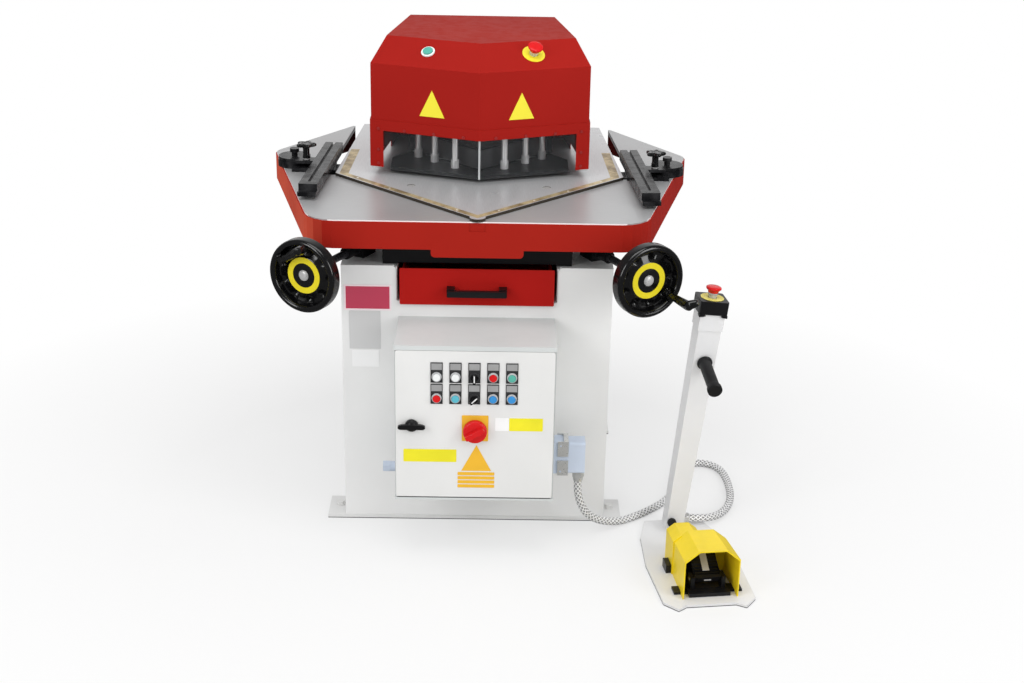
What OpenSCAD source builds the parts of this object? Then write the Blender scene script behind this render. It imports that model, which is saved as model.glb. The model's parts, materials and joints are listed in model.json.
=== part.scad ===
// Corner notching machine: a hydraulic 90 degree notcher on a sheet cabinet, with its foot pedal on a post.
// Millimetres. The origin is on the floor, under the middle of the base plate; +Y is the back.

/* [Base and cabinet] */
// Thickness of the floor plate
base_t = 10; // [8:1:16]
// Width of the cabinet
cab_w = 690; // [680:5:760]
// Depth of the cabinet
cab_d = 650; // [650:10:720]
// Height of the press frame between the cabinet and the table
neck_h = 127; // [120:1:135]
// Thickness of the cabinet sheet
cab_sheet = 3; // [2:0.5:4]
// Distance that each floor lug stands out at the side
lug_out = 47; // [40:1:60]
// Radius of the floor bolt holes
anchor_r = 7; // [5:0.5:9]

/* [Table] */
// Height of the table wings above the floor
table_h = 855; // [800:5:900]
// Thickness of the table plate
table_t = 12; // [10:1:15]
// Distance that the table stands out in front of the cabinet
table_over = 62; // [50:1:80]
// Width of the table at its front edge
table_front_w = 832; // [800:4:880]
// Width of the table at its side corners
table_side_w = 1148; // [1140:4:1200]
// Width of the table at its back edge
table_back_w = 764; // [760:2:780]
// Distance of the side corners behind the cabinet front
side_corner_y = 562; // [540:2:590]
// Distance of the table's back edge behind the cabinet front
table_back_y = 850; // [830:2:870]
// Depth of the painted skirt
skirt_h = 70; // [50:1:74]
// Thickness of the skirt sheet
skirt_sheet = 3; // [2:0.5:4]
// Depth of the tab under the middle of the front skirt
skirt_tab = 20; // [10:1:24]

/* [Bed] */
// Thickness of the raised bed plate
bed_t = 8; // [6:0.5:10]
// Half width of the bed at the ends of its 90 degree front
bed_half = 385; // [375:1:392]
// Half width of the bed at the back
bed_back_half = 348; // [340:1:352]
// Width of the gap between bed and wings
wing_gap = 28; // [20:1:30]
// Width of the brass rulers
ruler_w = 18; // [12:1:22]
// Thickness of the brass rulers
ruler_t = 1.5; // [1:0.5:2]

/* [Tooling] */
// Distance of the tip of the die behind the cabinet front
die_tip_y = 300; // [295:1:305]
// Length of each blade
blade_len = 250; // [240:2:254]
// Width of a lower blade
blade_w = 20; // [16:1:22]
// Height of a lower blade
blade_h = 30; // [26:1:36]
// Thickness of an upper blade
punch_blade_t = 12; // [10:0.5:14]
// Gap between upper and lower blades
cut_gap = 0.1; // [0.05:0.05:0.2]
// Height of the raised upper blades above the bed
punch_lift = 22; // [20:1:26]
// Height of the raised hold-down above the bed
sheet_gap = 9; // [8:0.5:12]
// Thickness of the hold-down plate
hold_t = 10; // [8:1:12]
// Radius of a hold-down rod
hold_rod_r = 8; // [6:0.5:9]

/* [Guard and hood] */
// Half width of the hood
hood_half = 288; // [280:1:294]
// Distance of the hood's front tip behind the cabinet front
hood_tip_y = 218; // [212:1:222]
// Depth of the V at the hood's front
hood_v = 105; // [95:1:112]
// Height of the hood's sheet walls above the bed
hood_wall_h = 298; // [290:1:310]
// Rise of the hood's sloping faces
hood_rise = 56; // [50:1:62]
// Distance in plan between the lower and upper bend of the slope
hood_set = 100; // [94:1:106]
// Thickness of the hood sheet
hood_sheet = 2; // [1.5:0.5:3]
// Height of the guard's open window above the bed
window_h = 124; // [116:1:130]
// Gap under the guard
guard_gap = 18; // [15:1:22]
// Thickness of the clear guard
clear_t = 5; // [4:0.5:6]

/* [Handwheels] */
// Radius of a handwheel
wheel_r = 93; // [85:1:96]
// Radius of a wheel shaft
shaft_r = 10; // [8:0.5:11]
// Swing of the wheel shafts from straight ahead
shaft_yaw = 27; // [26.5:0.5:28]
// Length of a crank handle's grip
crank_len = 88; // [80:1:92]

/* [Control box] */
// Width of the control box
box_w = 400; // [390:2:420]
// Depth of the control box behind its door
box_d = 184; // [170:2:200]
// Height of the control box
box_h = 420; // [416:2:430]
// Gap between the drawer and the control box below it
box_gap = 36; // [28:2:60]
// Thickness of the folded door
door_t = 14.4; // [12:0.4:16]

/* [Drawer] */
// Width of the drawer front
drawer_w = 392; // [380:2:396]
// Height of the drawer front
drawer_h = 97; // [90:1:99]
// Depth of the drawer box
drawer_d = 540; // [500:10:560]

/* [Pedal stand] */
// Width of the square post at its foot
post_foot_w = 46; // [40:1:52]
// Width of the square post under its collar
post_head_w = 59; // [54:1:62]
// Height of the post above the floor plate
post_h = 569; // [540:1:600]
// Sideways lean of the post
post_lean = 6; // [3:0.5:7]
// Thickness of the pedal stand's floor plate
stand_t = 8; // [6:1:10]
// Turn of the whole stand
stand_yaw = 7.5; // [6:0.5:9]

/* [Hidden] */
$fn = 48;
root2 = sqrt(2);
fit = 0.05;           // running clearance of a shaft, on the radius
seat = 0.3;           // gap between pieces that turn or slide past each other
table_bottom = table_h - table_t;
cab_top = table_bottom - neck_h;
bed_top = table_h + bed_t;
table_front = -table_over;
bed_corner_y = table_front + bed_half;
bed_back_y = table_back_y - 5;
slot_lean = atan((bed_half - bed_back_half) / (bed_back_y - bed_corner_y));
frame_half = 200;     // half width between the cheeks of the press frame
cheek_t = 40;
column_y = 560;
column_d = 80;
shelf_z = table_bottom - 98;   // underside of the shelf that carries the blade holders
shelf_t = 15;
die_clear = 4;        // space round the lower blades in the bed
hole_half = (blade_len + 3 + blade_w + die_clear) / root2;
hole_back = 545;
head_z = bed_top + 177;
head_t = 50;
head_top = head_z + head_t;
ram_h = 120;
ram_z = bed_top + punch_lift + 5;
ram_back = 540;
rod_r = 25;
piston_r = 50;
cylinder_y = 430;
pillar_r = 15;
pillar_x = 110;
pillar_y = 500;
v_slope = hood_v / hood_half;
v_turn = atan(v_slope);
wall_top = bed_top + hood_wall_h;
hood_top = wall_top + hood_rise;
slope_tilt = atan(hood_rise / (hood_set * cos(v_turn)));
hood_back_y = 720;
hood_back_half = 240;
window_z = bed_top + window_h;
guard_z = bed_top + guard_gap;
band_h = 31;
leg_w = 36;
guard_t = 3;
hub = [420, -150, table_bottom - 103];
crank_root = 66;      // distance of a crank handle's hinge from the hub
crank_z = 10;         // hinge of the crank handle in front of the hub plane
crank_in = 60;        // turn of the folded handle from pointing at the hub
crank_at = -37;       // place of the crank handle round the wheel
housing_from = 190;
housing_to = 300;
collar_r = 16;        // sleeve round a wheel shaft, in front of its bracket
collar_l = 25;
shaft_end = 612;
holder_w = 44;
holder_lug = [150, 200];
holder_to = 228;
drawer_top = cab_top - 3;
drawer_z = drawer_top - drawer_h;
drawer_box_w = drawer_w - 12;
drawer_y = -10;
box_z = drawer_z - box_gap - box_h;
door_w = box_w - 6;
door_z = box_z + 6;
door_top = box_z + box_h - 13;
door_h = door_top - door_z;
door_mid = (door_z + door_top) / 2;
door_y = -box_d - 1.6;
door_face = door_y - door_t;
door_sheet = 2;
hinge_x = door_w / 2 - 3;
hinge_y = door_y - 6.4;
button_dx = 46.5;
button_x0 = -95;
button_z = [door_mid + 132.5, door_mid + 75.5];
button_r = 11.5;
stem_r = 8;
holder_t = 2;
switch_at = [1, door_mid - 12];
switch_turn = 60;     // lean of the main switch's grip from upright
latch_at = [40 - door_w / 2, door_mid + 0.5];
plug_x = box_w / 2;
plug_y = -100;
plug_z = [box_z + 40, box_z + 127];
plug_base_w = 25;
plug_hood_w = 58;
gland_at = [plug_x + 68, plug_y, box_z + 12];
gauge_pivot = [505, 425];
gauge_y = 395;        // middle of the carriage's tongue
gauge_ahead = 33;
disc_r = 45;
tongue_w = wing_gap - 1;
fence_z = bed_top + 1.5;
fence_len = 430;
fence_w = 48;
fence_x = 416;
fence_pin_y = 395;
fence_front_y = 95;
knob_at = [468, 380];
knob_pin_r = 5;
stand_at = [533, -35];
post_at = [-5, 0];
pedal_front = -380;   // mouth of the pedal's cover
pedal_waist = -236;   // back of its wide part
pedal_back = -158;
pedal_at = 4;         // the cover's middle, to the right of the stand's middle
pedal_w = 140;
pedal_h = 130;
neck_half = 40;       // the narrow back of the cover
neck_at = -26;
hose_r = 10;
gland_z = 24;
hose_route = [[268, -100, 172], [268, -100, 150], [271, -99, 126], [279, -95, 98], [294, -86, 69], [319, -71, 43],
    [352, -50, 24], [392, -24, 13], [434, 8, 10.5], [474, 44, 10.5], [510, 84, 10.5], [538, 128, 10.5],
    [557, 176, 10.5], [568, 226, 10.5], [578, 274, 10.5], [600, 314, 10.5], [638, 336, 10.5], [676, 322, 10.5],
    [698, 286, 10.5], [706, 240, 10.5], [708, 192, 10.5], [706, 144, 10.5], [698, 98, 10.5], [682, 54, 11.5],
    [657, 14, 14.5], [627, -14, 20.5], [599, -25.9, 24.6], [569.9, -30.1, 27.6]];

// ---- shared shapes ----

function unit(v) = v / norm(v);

// Points that round the corner p between a and b with an arc of radius r
function arc_at(a, p, b, r, n = 4) =
    let (u = unit(a - p), v = unit(b - p), half = acos(u * v) / 2, c = p + unit(u + v) * r / sin(half))
    let (s = p + u * r / tan(half) - c, e = p + v * r / tan(half) - c, a0 = atan2(s[1], s[0]))
    let (turn = ((atan2(e[1], e[0]) - a0) % 360 + 540) % 360 - 180)
    [for (i = [0 : n]) c + r * [cos(a0 + turn * i / n), sin(a0 + turn * i / n)]];

// An outline with each corner rounded by its own radius, 0 for a sharp one
function rounded(pts, radii) = [for (i = [0 : len(pts) - 1])
    each (radii[i] > 0
        ? arc_at(pts[(i + len(pts) - 1) % len(pts)], pts[i], pts[(i + 1) % len(pts)], radii[i])
        : [pts[i]])];

// The right half of an outline and its mirror image
function both(half) = concat(half, [for (i = [len(half) - 1 : -1 : 0]) if (half[i][0] > 0) [-half[i][0], half[i][1]]]);

// A rectangle from its middle, its sizes and one corner radius
function round_rect(w, h, r) =
    rounded([[-w / 2, -h / 2], [w / 2, -h / 2], [w / 2, h / 2], [-w / 2, h / 2]], [r, r, r, r]);

// A point of the right blade: t along its edge from the tip, e out in front of that edge
function on_blade(t, e) = [(t + e) / root2, die_tip_y + (t - e) / root2];

// Puts a shape drawn from the cabinet's front face into the machine's own frame
module from_front() translate([0, -cab_d / 2, 0]) children();

// Draws a shape on the right, or its mirror image on the left
module on_side(side) mirror([side < 0 ? 1 : 0, 0, 0]) children();

module block(from, to) translate(from) cube(to - from);

// A plate with an outline, between two heights
module slab(outline, z0, z1) translate([0, 0, z0]) linear_extrude(z1 - z0) polygon(outline);

// A round bar along +Y
module bar_y(r, from, len) translate(from) rotate([-90, 0, 0]) cylinder(r = r, h = len);

// A plate standing in the X-Z plane with its front at y
module front_plate(outline, y, t) translate([0, y + t, 0]) rotate([90, 0, 0]) linear_extrude(t) polygon(outline);

function moved(outline, by) = [for (p = outline) p + by];

// Local frame of a wheel shaft: +Z points out to the wheel, +Y up
module on_shaft() translate(hub) rotate([90, 0, shaft_yaw]) children();

// ---- base and cabinet ----

lug_y = [-5, 103];
back_lug_y = [cab_d - 103, cab_d];
anchor_x = cab_w / 2 + 18;
anchor_y = 56;

module base_plate() from_front() color("gainsboro") difference() {
    union() {
        block([-cab_w / 2 - 4, -5, 0], [cab_w / 2 + 4, cab_d, base_t]);
        for (y = [lug_y, back_lug_y])
            block([-cab_w / 2 - lug_out, y[0], 0], [cab_w / 2 + lug_out, y[1], base_t]);
    }
    for (x = [-anchor_x, anchor_x], y = [anchor_y, cab_d - anchor_y])
        translate([x, y, -1]) cylinder(r = anchor_r, h = base_t + 2);
}

module cabinet() from_front() color("whitesmoke") difference() {
    union() {
        difference() {
            block([-cab_w / 2, 0, base_t], [cab_w / 2, cab_d, cab_top]);
            block([-cab_w / 2 + cab_sheet, cab_sheet, base_t - 1],
                [cab_w / 2 - cab_sheet, cab_d - cab_sheet, cab_top - cab_sheet]);
        }
        for (s = [-1, 1]) on_side(s) drawer_runner();
    }
    drawer_cutout();
    block([-frame_half - 10, -1, cab_top - cab_sheet - 1], [frame_half + 10, column_y + 40, cab_top + 1]);
    block([-cover_w / 2 + 15, cab_d - cab_sheet - 1, cover_z + 15],
        [cover_w / 2 - 15, cab_d + 1, cover_z + cover_h - 15]);
}

module drawer_runner() {
    half = frame_half + 3;
    block([drawer_box_w / 2 - 12, cab_sheet, drawer_z + 3], [half + 3, drawer_d + 20, drawer_z + 6]);
    block([half, cab_sheet, drawer_z + 3], [half + 3, drawer_d + 20, cab_top - cab_sheet]);
    block([half, cab_sheet, cab_top - cab_sheet - 3], [half + 25, drawer_d + 20, cab_top - cab_sheet]);
}

// Opening for the drawer, open at the top between rounded corners
module drawer_cutout() {
    w = drawer_w / 2 + 9;
    top = cab_top + 1;
    front_plate(rounded([[-w, drawer_z + 5], [w, drawer_z + 5], [w, top], [w + 30, top], [w + 30, top + 20],
        [-w - 30, top + 20], [-w - 30, top], [-w, top]], [6, 6, 14, 0, 0, 0, 0, 14]), -1, cab_sheet + 2);
}

cover_w = 620;
cover_h = 600;
cover_z = 60;
tank = [400, 280, 240];
tank_y = 330;
tank_wall = 5;
tank_top = base_t + tank[2];
motor_r = 80;
module rear_cover() from_front() color("whitesmoke")
    block([-cover_w / 2, cab_d, cover_z], [cover_w / 2, cab_d + 2, cover_z + cover_h]);

// Hydraulic tank with the motor and pump standing on its lid
module power_pack() from_front() {
    color("dimgray") difference() {
        translate([-tank[0] / 2, tank_y, base_t]) cube(tank);
        translate([tank_wall - tank[0] / 2, tank_y + tank_wall, base_t + tank_wall])
            cube(tank - 2 * tank_wall * [1, 1, 1]);
    }
    color("steelblue") translate([-motor_r, tank_y + tank[1] / 2, tank_top]) {
        cylinder(r = motor_r + 15, h = 20);
        translate([0, 0, 20]) cylinder(r = motor_r, h = 230);
    }
    color("slategray") translate([60, tank_y + tank[1] / 2 - 60, tank_top]) cube([90, 120, 90]);
}

// ---- press frame ----

module shaft_hole(r) for (s = [-1, 1]) on_side(s) on_shaft() translate([0, 0, -shaft_end - 20])
    cylinder(r = r, h = shaft_end - housing_to);

module press_frame() from_front() color([0.09, 0.09, 0.1]) difference() {
    union() {
        for (s = [-1, 1]) on_side(s)
            block([frame_half, 15, cab_top], [frame_half + cheek_t, column_y + column_d, table_bottom]);
        block([-frame_half, 15, cab_top + 4], [frame_half, 27, table_bottom]);
        block([-frame_half, 180, shelf_z], [frame_half, column_y, shelf_z + shelf_t]);
        block([-frame_half, column_y, cab_top], [frame_half, column_y + column_d, head_z + head_t]);
        slab(both([[0, hood_tip_y + 32], [frame_half, hood_tip_y + 32 + frame_half * v_slope],
            [frame_half, column_y + column_d]]), head_z, head_z + head_t);
    }
    shaft_hole(shaft_r + 3);
    slab(both([on_blade(-blade_w / 2, blade_w / 2), on_blade(blade_len, 0), [blade_len / root2, hole_back]]),
        shelf_z - 1, shelf_z + shelf_t + 1);
    for (s = [-1, 1]) on_side(s)
        slab([on_blade(holder_lug[0] - 8, -2), on_blade(holder_lug[1] + 8, -2),
            on_blade(holder_lug[1] + 8, holder_w + 8), on_blade(holder_lug[0] - 8, holder_w + 8)],
            shelf_z - 1, shelf_z + shelf_t + 1);
    translate([0, cylinder_y, head_z - 1]) cylinder(r = rod_r + fit, h = head_t + 2);
    for (x = [-pillar_x, pillar_x]) translate([x, pillar_y, head_z - 1]) cylinder(r = pillar_r + fit, h = head_t + 2);
    hold_rod_places() translate([0, 0, head_z - 1]) cylinder(r = hold_rod_r + fit, h = head_t + 2);
}

// ---- table and bed ----

table_outline = rounded(both([[table_front_w / 2, table_front], [table_side_w / 2, side_corner_y],
    [table_back_w / 2, table_back_y]]), [75, 45, 5, 5, 45, 75]);

function skirt_outline(grow) = rounded(both([[table_front_w / 2 + grow, table_front - grow],
    [table_side_w / 2 + grow, side_corner_y], [table_back_w / 2 + grow / 2, table_back_y + grow]]),
    [75 + grow, 45 + grow, 5, 5, 45 + grow, 75 + grow]);

// The hole that the blades and the punch work in, and the slot that the column stands in
module die_hole(z0, z1) {
    slab(both([[0, die_tip_y - (blade_w + die_clear) * root2],
        [hole_half, die_tip_y - (blade_w + die_clear) * root2 + hole_half], [hole_half, hole_back]]), z0, z1);
    block([-frame_half - seat, column_y - seat, z0], [frame_half + seat, column_y + column_d + seat, z1]);
}

// Distance of the bed's side edge from the middle at a given depth
function bed_edge(y) = bed_half - (y - bed_corner_y) * tan(slot_lean);

module wing_slots(z0, z1) for (s = [-1, 1]) on_side(s) {
    from = bed_corner_y + 8;
    to = table_back_y + 20;
    slab([[bed_edge(from), from], [bed_edge(from) + wing_gap, from], [bed_edge(to) + wing_gap, to], [bed_edge(to), to]],
        z0, z1);
}

module table_top() from_front() color("silver") difference() {
    slab(table_outline, table_bottom, table_h);
    wing_slots(table_bottom - 1, table_h + 1);
    die_hole(table_bottom - 1, table_h + 1);
}

module table_skirt() from_front() color("firebrick") difference() {
    union() {
        difference() {
            slab(skirt_outline(skirt_sheet), table_h - 3 - skirt_h, table_h - 3);
            slab(skirt_outline(0), table_h - 4 - skirt_h, table_h);
        }
        front_plate(rounded([[-115, skirt_bottom + 2], [-115, skirt_bottom - skirt_tab],
            [115, skirt_bottom - skirt_tab], [115, skirt_bottom + 2]], [0, 10, 10, 0]), table_front - skirt_sheet, skirt_sheet);
    }
    block([-bed_back_half - wing_gap, side_corner_y + 150, skirt_bottom - 1],
        [bed_back_half + wing_gap, table_back_y + 20, table_h]);
    block([-nose_r, table_front - skirt_sheet - 1, table_h - 3 - 22], [nose_r, table_front - 1, table_h]);
}
nose_r = 20;          // rounded tip of the bed over a shallow pocket in the skirt
skirt_bottom = table_h - 3 - skirt_h;

bed_outline = both([[0, table_front], [bed_half, bed_corner_y], [bed_back_half, bed_back_y]]);

module bed_plate() from_front() color("lightsteelblue") difference() {
    union() {
        slab(bed_outline, table_h, bed_top);
        translate([0, table_front + nose_r - 6, table_h]) cylinder(r = nose_r, h = bed_t);
    }
    die_hole(table_h - 1, bed_top + 1);
    ruler_shapes(bed_top - ruler_t, bed_top + 1);
    for (x = [-bed_bolt_x, bed_bolt_x]) translate([x, bed_bolt_y, table_h - 1]) cylinder(r = bed_bolt_r, h = bed_t + 2);
}
bed_bolt_x = 177;
bed_bolt_y = 215;
bed_bolt_r = 11;

// Brass strips let in flush along the bed's front and side edges
module ruler_shapes(z0, z1) slab(both([[0, table_front + ruler_in], [bed_half - 11, bed_corner_y - 11 + ruler_in],
    [bed_half - 22, bed_corner_y + 240], [bed_half - 22 - side_ruler_w, bed_corner_y + 240],
    [bed_half - 11 - side_ruler_w, bed_corner_y - 11 - side_ruler_w + ruler_in + ruler_w * root2],
    [0, table_front + ruler_in + ruler_w * root2]]), z0, z1);
side_ruler_w = 24;
ruler_in = 5;         // strip of the bed in front of the rulers

module edge_rulers() from_front() color("darkgoldenrod") ruler_shapes(bed_top - ruler_t, bed_top);

// Screw heads on the bed, the guard and the floor plate, and the metal glands of the hose
module screws_and_glands() from_front() color("lightgray") {
    for (x = [-bed_bolt_x, bed_bolt_x]) translate([x, bed_bolt_y, table_h]) cylinder(r = bed_bolt_r - seat, h = bed_t - 1);
    for (s = [-1, 1]) on_side(s) {
        for (x = [42, 120, 198, 268]) guard_screw(x, window_z - band_h / 2 + 18);
        for (z = [guard_z + 14, guard_z + 52]) guard_screw(268, z);
    }
    for (x = [-anchor_x, anchor_x], y = [anchor_y, cab_d - anchor_y]) translate([x, y, base_t]) {
        cylinder(r = 13, h = 2.5);
        cylinder(r = 10, h = 10, $fn = 6);
    }
    translate(gland_at) cylinder(r = 13, h = 8);
    translate([gland_at[0], gland_at[1], gland_at[2] + 8]) cylinder(r = 15, h = plug_z[0] - gland_at[2] - 8, $fn = 6);
    in_post() translate([post_half(gland_z + 15), 0, gland_z]) rotate([0, 90, 0]) {
        cylinder(r = 15, h = 8, $fn = 6);
        cylinder(r = 13, h = 16);
    }
}

module guard_screw(x, z) translate([x, hood_tip_y - guard_t - seat + x * v_slope, z]) rotate([90, 0, v_turn])
    cylinder(r = 4, h = 2, $fn = 16);

module scrap_chute() from_front() color([0.12, 0.12, 0.13]) difference() {
    slab(both([[0, die_tip_y + 3], [blade_len / root2, die_tip_y + 3 + blade_len / root2],
        [blade_len / root2, hole_back + 5]]), cab_top, shelf_z);
    slab(both([[0, die_tip_y + 6], [blade_len / root2 - 2, die_tip_y + 4 + blade_len / root2],
        [blade_len / root2 - 2, hole_back + 3]]), cab_top - 1, shelf_z + 1);
}

// ---- guard and hood ----

// A sheet that follows the V of the hood's front, out from its face and t thick
module v_wall(half, out, t, z0, z1) translate([0, 0, z0]) linear_extrude(z1 - z0)
    polygon(concat([[0, hood_tip_y + out], [half, hood_tip_y + out + half * v_slope],
        [half, hood_tip_y + out + t + half * v_slope], [0, hood_tip_y + out + t],
        [-half, hood_tip_y + out + t + half * v_slope], [-half, hood_tip_y + out + half * v_slope]]));

module guard_frame() from_front() color("firebrick") {
    difference() {
        v_wall(hood_half + guard_t, -guard_t - seat, guard_t, guard_z + 4, window_z + band_h - 6);
        v_wall(hood_half + guard_t - leg_w, -20, 40, guard_z, window_z - 3);
    }
    for (s = [-1, 1]) on_side(s)
        block([hood_half + seat, hood_tip_y - 1 + hood_half * v_slope, guard_z + 4],
            [hood_half + guard_t, hood_tip_y + 34 + hood_half * v_slope, window_z + band_h - 6]);
}

module guard_screen() from_front() color([0.8, 0.9, 0.95, 0.35])
    v_wall(hood_half - 0.5, 0, clear_t, guard_z - 1, window_z + 6);

// Solid form of the hood, drawn in by the sheet's thickness
module hood_form(in) {
    tip = hood_tip_y + in * 1.1;
    side = hood_half - in;
    rise = in > 0 ? hood_top - in : hood_top;
    low = both([[0, tip], [side, tip + side * v_slope], [hood_back_half - in, hood_back_y - in]]);
    upper = hood_half - hood_chamfer - in;
    high = both([[0, tip + hood_set], [upper, tip + hood_set + upper * v_slope],
        [hood_back_half - hood_chamfer - in, hood_back_y - 22 - in]]);
    slab(low, bed_top - in, wall_top);
    hull() {
        slab(low, wall_top - 0.01, wall_top);
        slab(high, rise - 0.01, rise);
    }
}

module hood() from_front() color("firebrick") difference() {
    hood_form(0);
    hood_form(hood_sheet);
    block([-hood_half - 1, hood_tip_y - 1, bed_top - 3], [hood_half + 1, hood_tip_y + hood_v + 35, window_z + 7]);
    block([-hood_half - 1, hood_tip_y - 1, bed_top - 3], [hood_half + 1, hood_foot_y, guard_z]);
    for (s = [-1, 1]) on_side(s) on_slope() translate([0, 0, -20]) cylinder(r = control_stem_r + seat, h = 30);
}

hood_chamfer = 38;
control_on_slope = 137;
control_stem_r = 11;
hood_foot_y = 600;
// Middle of the control on the hood's right slope, with +Z square to the sheet
module on_slope() {
    up = 0.54;
    translate([control_on_slope, hood_tip_y + control_on_slope * v_slope + hood_set * up, wall_top + hood_rise * up])
        rotate([slope_tilt, 0, v_turn]) children();
}

// ---- press ----

module v_punch(e, back, half) polygon(both([[0, die_tip_y + e * root2], [half, die_tip_y + e * root2 + half], [half, back]]));

module ram() from_front() color("gray") {
    translate([0, 0, ram_z]) linear_extrude(ram_h)
        v_punch(punch_blade_t + cut_gap, ram_back, (blade_len - 10) / root2);
    translate([0, cylinder_y, ram_z + ram_h]) cylinder(r = rod_r, h = head_top + 50 - ram_z - ram_h);
    translate([0, cylinder_y, head_top + 48]) cylinder(r = piston_r - fit, h = 28);
    for (x = [-pillar_x, pillar_x]) translate([x, pillar_y, ram_z + ram_h])
        cylinder(r = pillar_r, h = head_z + head_t + 40 - ram_z - ram_h);
}

module upper_blades() from_front() color("lightgray") for (s = [-1, 1]) on_side(s)
    slab([on_blade(cut_gap, -cut_gap), on_blade(blade_len - 10, -cut_gap),
        on_blade(blade_len - 10, -cut_gap - punch_blade_t), on_blade(cut_gap + punch_blade_t, -cut_gap - punch_blade_t)],
        bed_top + punch_lift, bed_top + punch_lift + 50);

module hydraulic_cylinder() from_front() color("dimgray") difference() {
    translate([0, cylinder_y, head_z + head_t]) cylinder(r = 70, h = 98);
    translate([0, cylinder_y, head_z + head_t + 8]) cylinder(r = piston_r, h = 80);
    translate([0, cylinder_y, head_z + head_t - 1]) cylinder(r = rod_r + fit, h = 20);
}

module hold_rod_places() for (s = [-1, 1], x = [66, 122, 168]) translate([s * x, x + die_tip_y - 41, 0]) children();

hold_z = bed_top + sheet_gap;
module hold_down() from_front() {
    color([0.1, 0.1, 0.11]) translate([0, 0, hold_z]) linear_extrude(hold_t) polygon([[0, die_tip_y - 54],
        [238, die_tip_y - 54 + 238 * 0.335], [238, 420], [190, die_tip_y + 185], [0, die_tip_y - 5],
        [-190, die_tip_y + 185], [-238, 420], [-238, die_tip_y - 54 + 238 * 0.335]]);
    color("lightgray") hold_rod_places() {
        translate([0, 0, hold_z + hold_t]) cylinder(r = hold_rod_r + 3, h = 22);
        translate([0, 0, hold_z + hold_t + 22]) cylinder(r = hold_rod_r, h = head_z + head_t + 14 - hold_z - hold_t - 22);
    }
}

// Blade holder with its lower blade; the screw on the wheel shaft moves it
module blade_holder() {
    color("dimgray") difference() {
        union() {
            slab([on_blade(1, 1), on_blade(holder_to, 1), on_blade(holder_to, holder_w),
                on_blade(-holder_w, holder_w)],
                shelf_z + shelf_t, bed_top - blade_h);
            slab([on_blade(holder_lug[0], 14), on_blade(holder_lug[1], 14),
                on_blade(holder_lug[1], holder_w), on_blade(holder_lug[0], holder_w)], hub[2] - 15, shelf_z + shelf_t);
        }
        on_shaft() translate([0, 0, -shaft_end - 30]) cylinder(r = shaft_r + fit, h = 120);
    }
    color("lightgray") slab([on_blade(0, 0), on_blade(blade_len, 0), on_blade(blade_len, blade_w),
        on_blade(-blade_w, blade_w)], bed_top - blade_h, bed_top);
}
module blade_holder_right() from_front() blade_holder();
module blade_holder_left() from_front() mirror([1, 0, 0]) blade_holder();

// ---- handwheels ----

module shaft_housings() from_front() color([0.1, 0.1, 0.11]) for (s = [-1, 1]) on_side(s) difference() {
    on_shaft() {
        translate([0, 0, -housing_to]) cylinder(r = collar_r, h = housing_to - housing_from);
        translate([-27, 0, -housing_to]) cube([54, table_bottom - hub[2], housing_to - housing_from - collar_l]);
        translate([-22, cab_top - hub[2], -housing_to]) cube([44, hub[2] - cab_top, 60]);
    }
    on_shaft() translate([0, 0, -housing_to - 1]) cylinder(r = shaft_r + fit, h = housing_to - housing_from + 2);
    block([0, -200, cab_top - 30], [cab_w, 3, hub[2] - 29]);
    block([0, -200, cab_top - 30], [cab_w, cab_d, cab_top]);
    block([frame_half - 60, 0, cab_top], [frame_half + cheek_t + seat, cab_d, table_bottom + 1]);
}

module wheel_profile() polygon([[shaft_r, -40], [20, -40], [20, -16], [50, -14], [74, -18], [77, -20],
    [wheel_r - 9, -21], [wheel_r - 3, -20], [wheel_r, -16], [wheel_r, 9], [wheel_r - 2, 13], [wheel_r - 7, 15],
    [wheel_r - 12, 14], [wheel_r - 15, 10], [wheel_r - 17, 2], [73, -9], [50, -4], [46, 0], [shaft_r, 0]]);

// Handwheel with its lugs and pin for the folding crank handle
module handwheel() {
    color([0.07, 0.07, 0.08]) difference() {
        rotate_extrude() wheel_profile();
        crank_frame() translate([-14.5, -12, -30]) cube([29, 24, 60]);
    }
    color("gold") difference() {
        cylinder(r = 46, h = 0.8);
        translate([0, 0, -1]) cylinder(r = 31, h = 3);
    }
    color([0.07, 0.07, 0.08]) crank_frame() {
        for (s = [-1, 1]) translate([s * 12.5 - 2, -9, -24]) cube([4, 18, 24]);
        for (s = [-1, 1]) translate([s * 12.5, 0, 0]) rotate([0, 90, 0]) cylinder(r = 9, h = 4, center = true);
        rotate([0, 90, 0]) cylinder(r = 3, h = 26, center = true);
        translate([-14.5, -12, -27]) cube([29, 24, 6]);
    }
    color("silver") {
        translate([0, 0, -shaft_end]) cylinder(r = shaft_r, h = shaft_end + 1);
        cylinder(r = 12, h = 6);
    }
}

// Frame of the crank handle's hinge: +X is the pin, +Z straight out, +Y the way it folds
module crank_frame() rotate([0, 0, crank_at]) translate([crank_root, 0, crank_z])
    rotate([0, 0, 90 + crank_in]) children();

module crank_shape() color([0.07, 0.07, 0.08]) difference() {
    union() {
        rotate([0, 90, 0]) cylinder(r = 8, h = 20, center = true);
        cylinder(r = 7, h = 20);
        translate([0, 0, 16]) cylinder(r = 10, h = 8);
        translate([0, 0, 24]) cylinder(r1 = 8.5, r2 = 12, h = crank_len - 24);
        translate([0, 0, crank_len]) sphere(r = 12);
        translate([0, 0, crank_len]) rotate([60, 0, 0]) cylinder(r1 = 12, r2 = 9, h = 26);
    }
    rotate([0, 90, 0]) cylinder(r = 3 + fit, h = 40, center = true);
}

module handwheel_right() from_front() on_shaft() handwheel();
module handwheel_left() from_front() on_left_shaft() handwheel();
module crank_right() from_front() on_shaft() crank_frame() crank_shape();
module crank_left() from_front() on_left_shaft() crank_frame() rotate([-crank_fold, 0, 0]) crank_shape();

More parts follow.
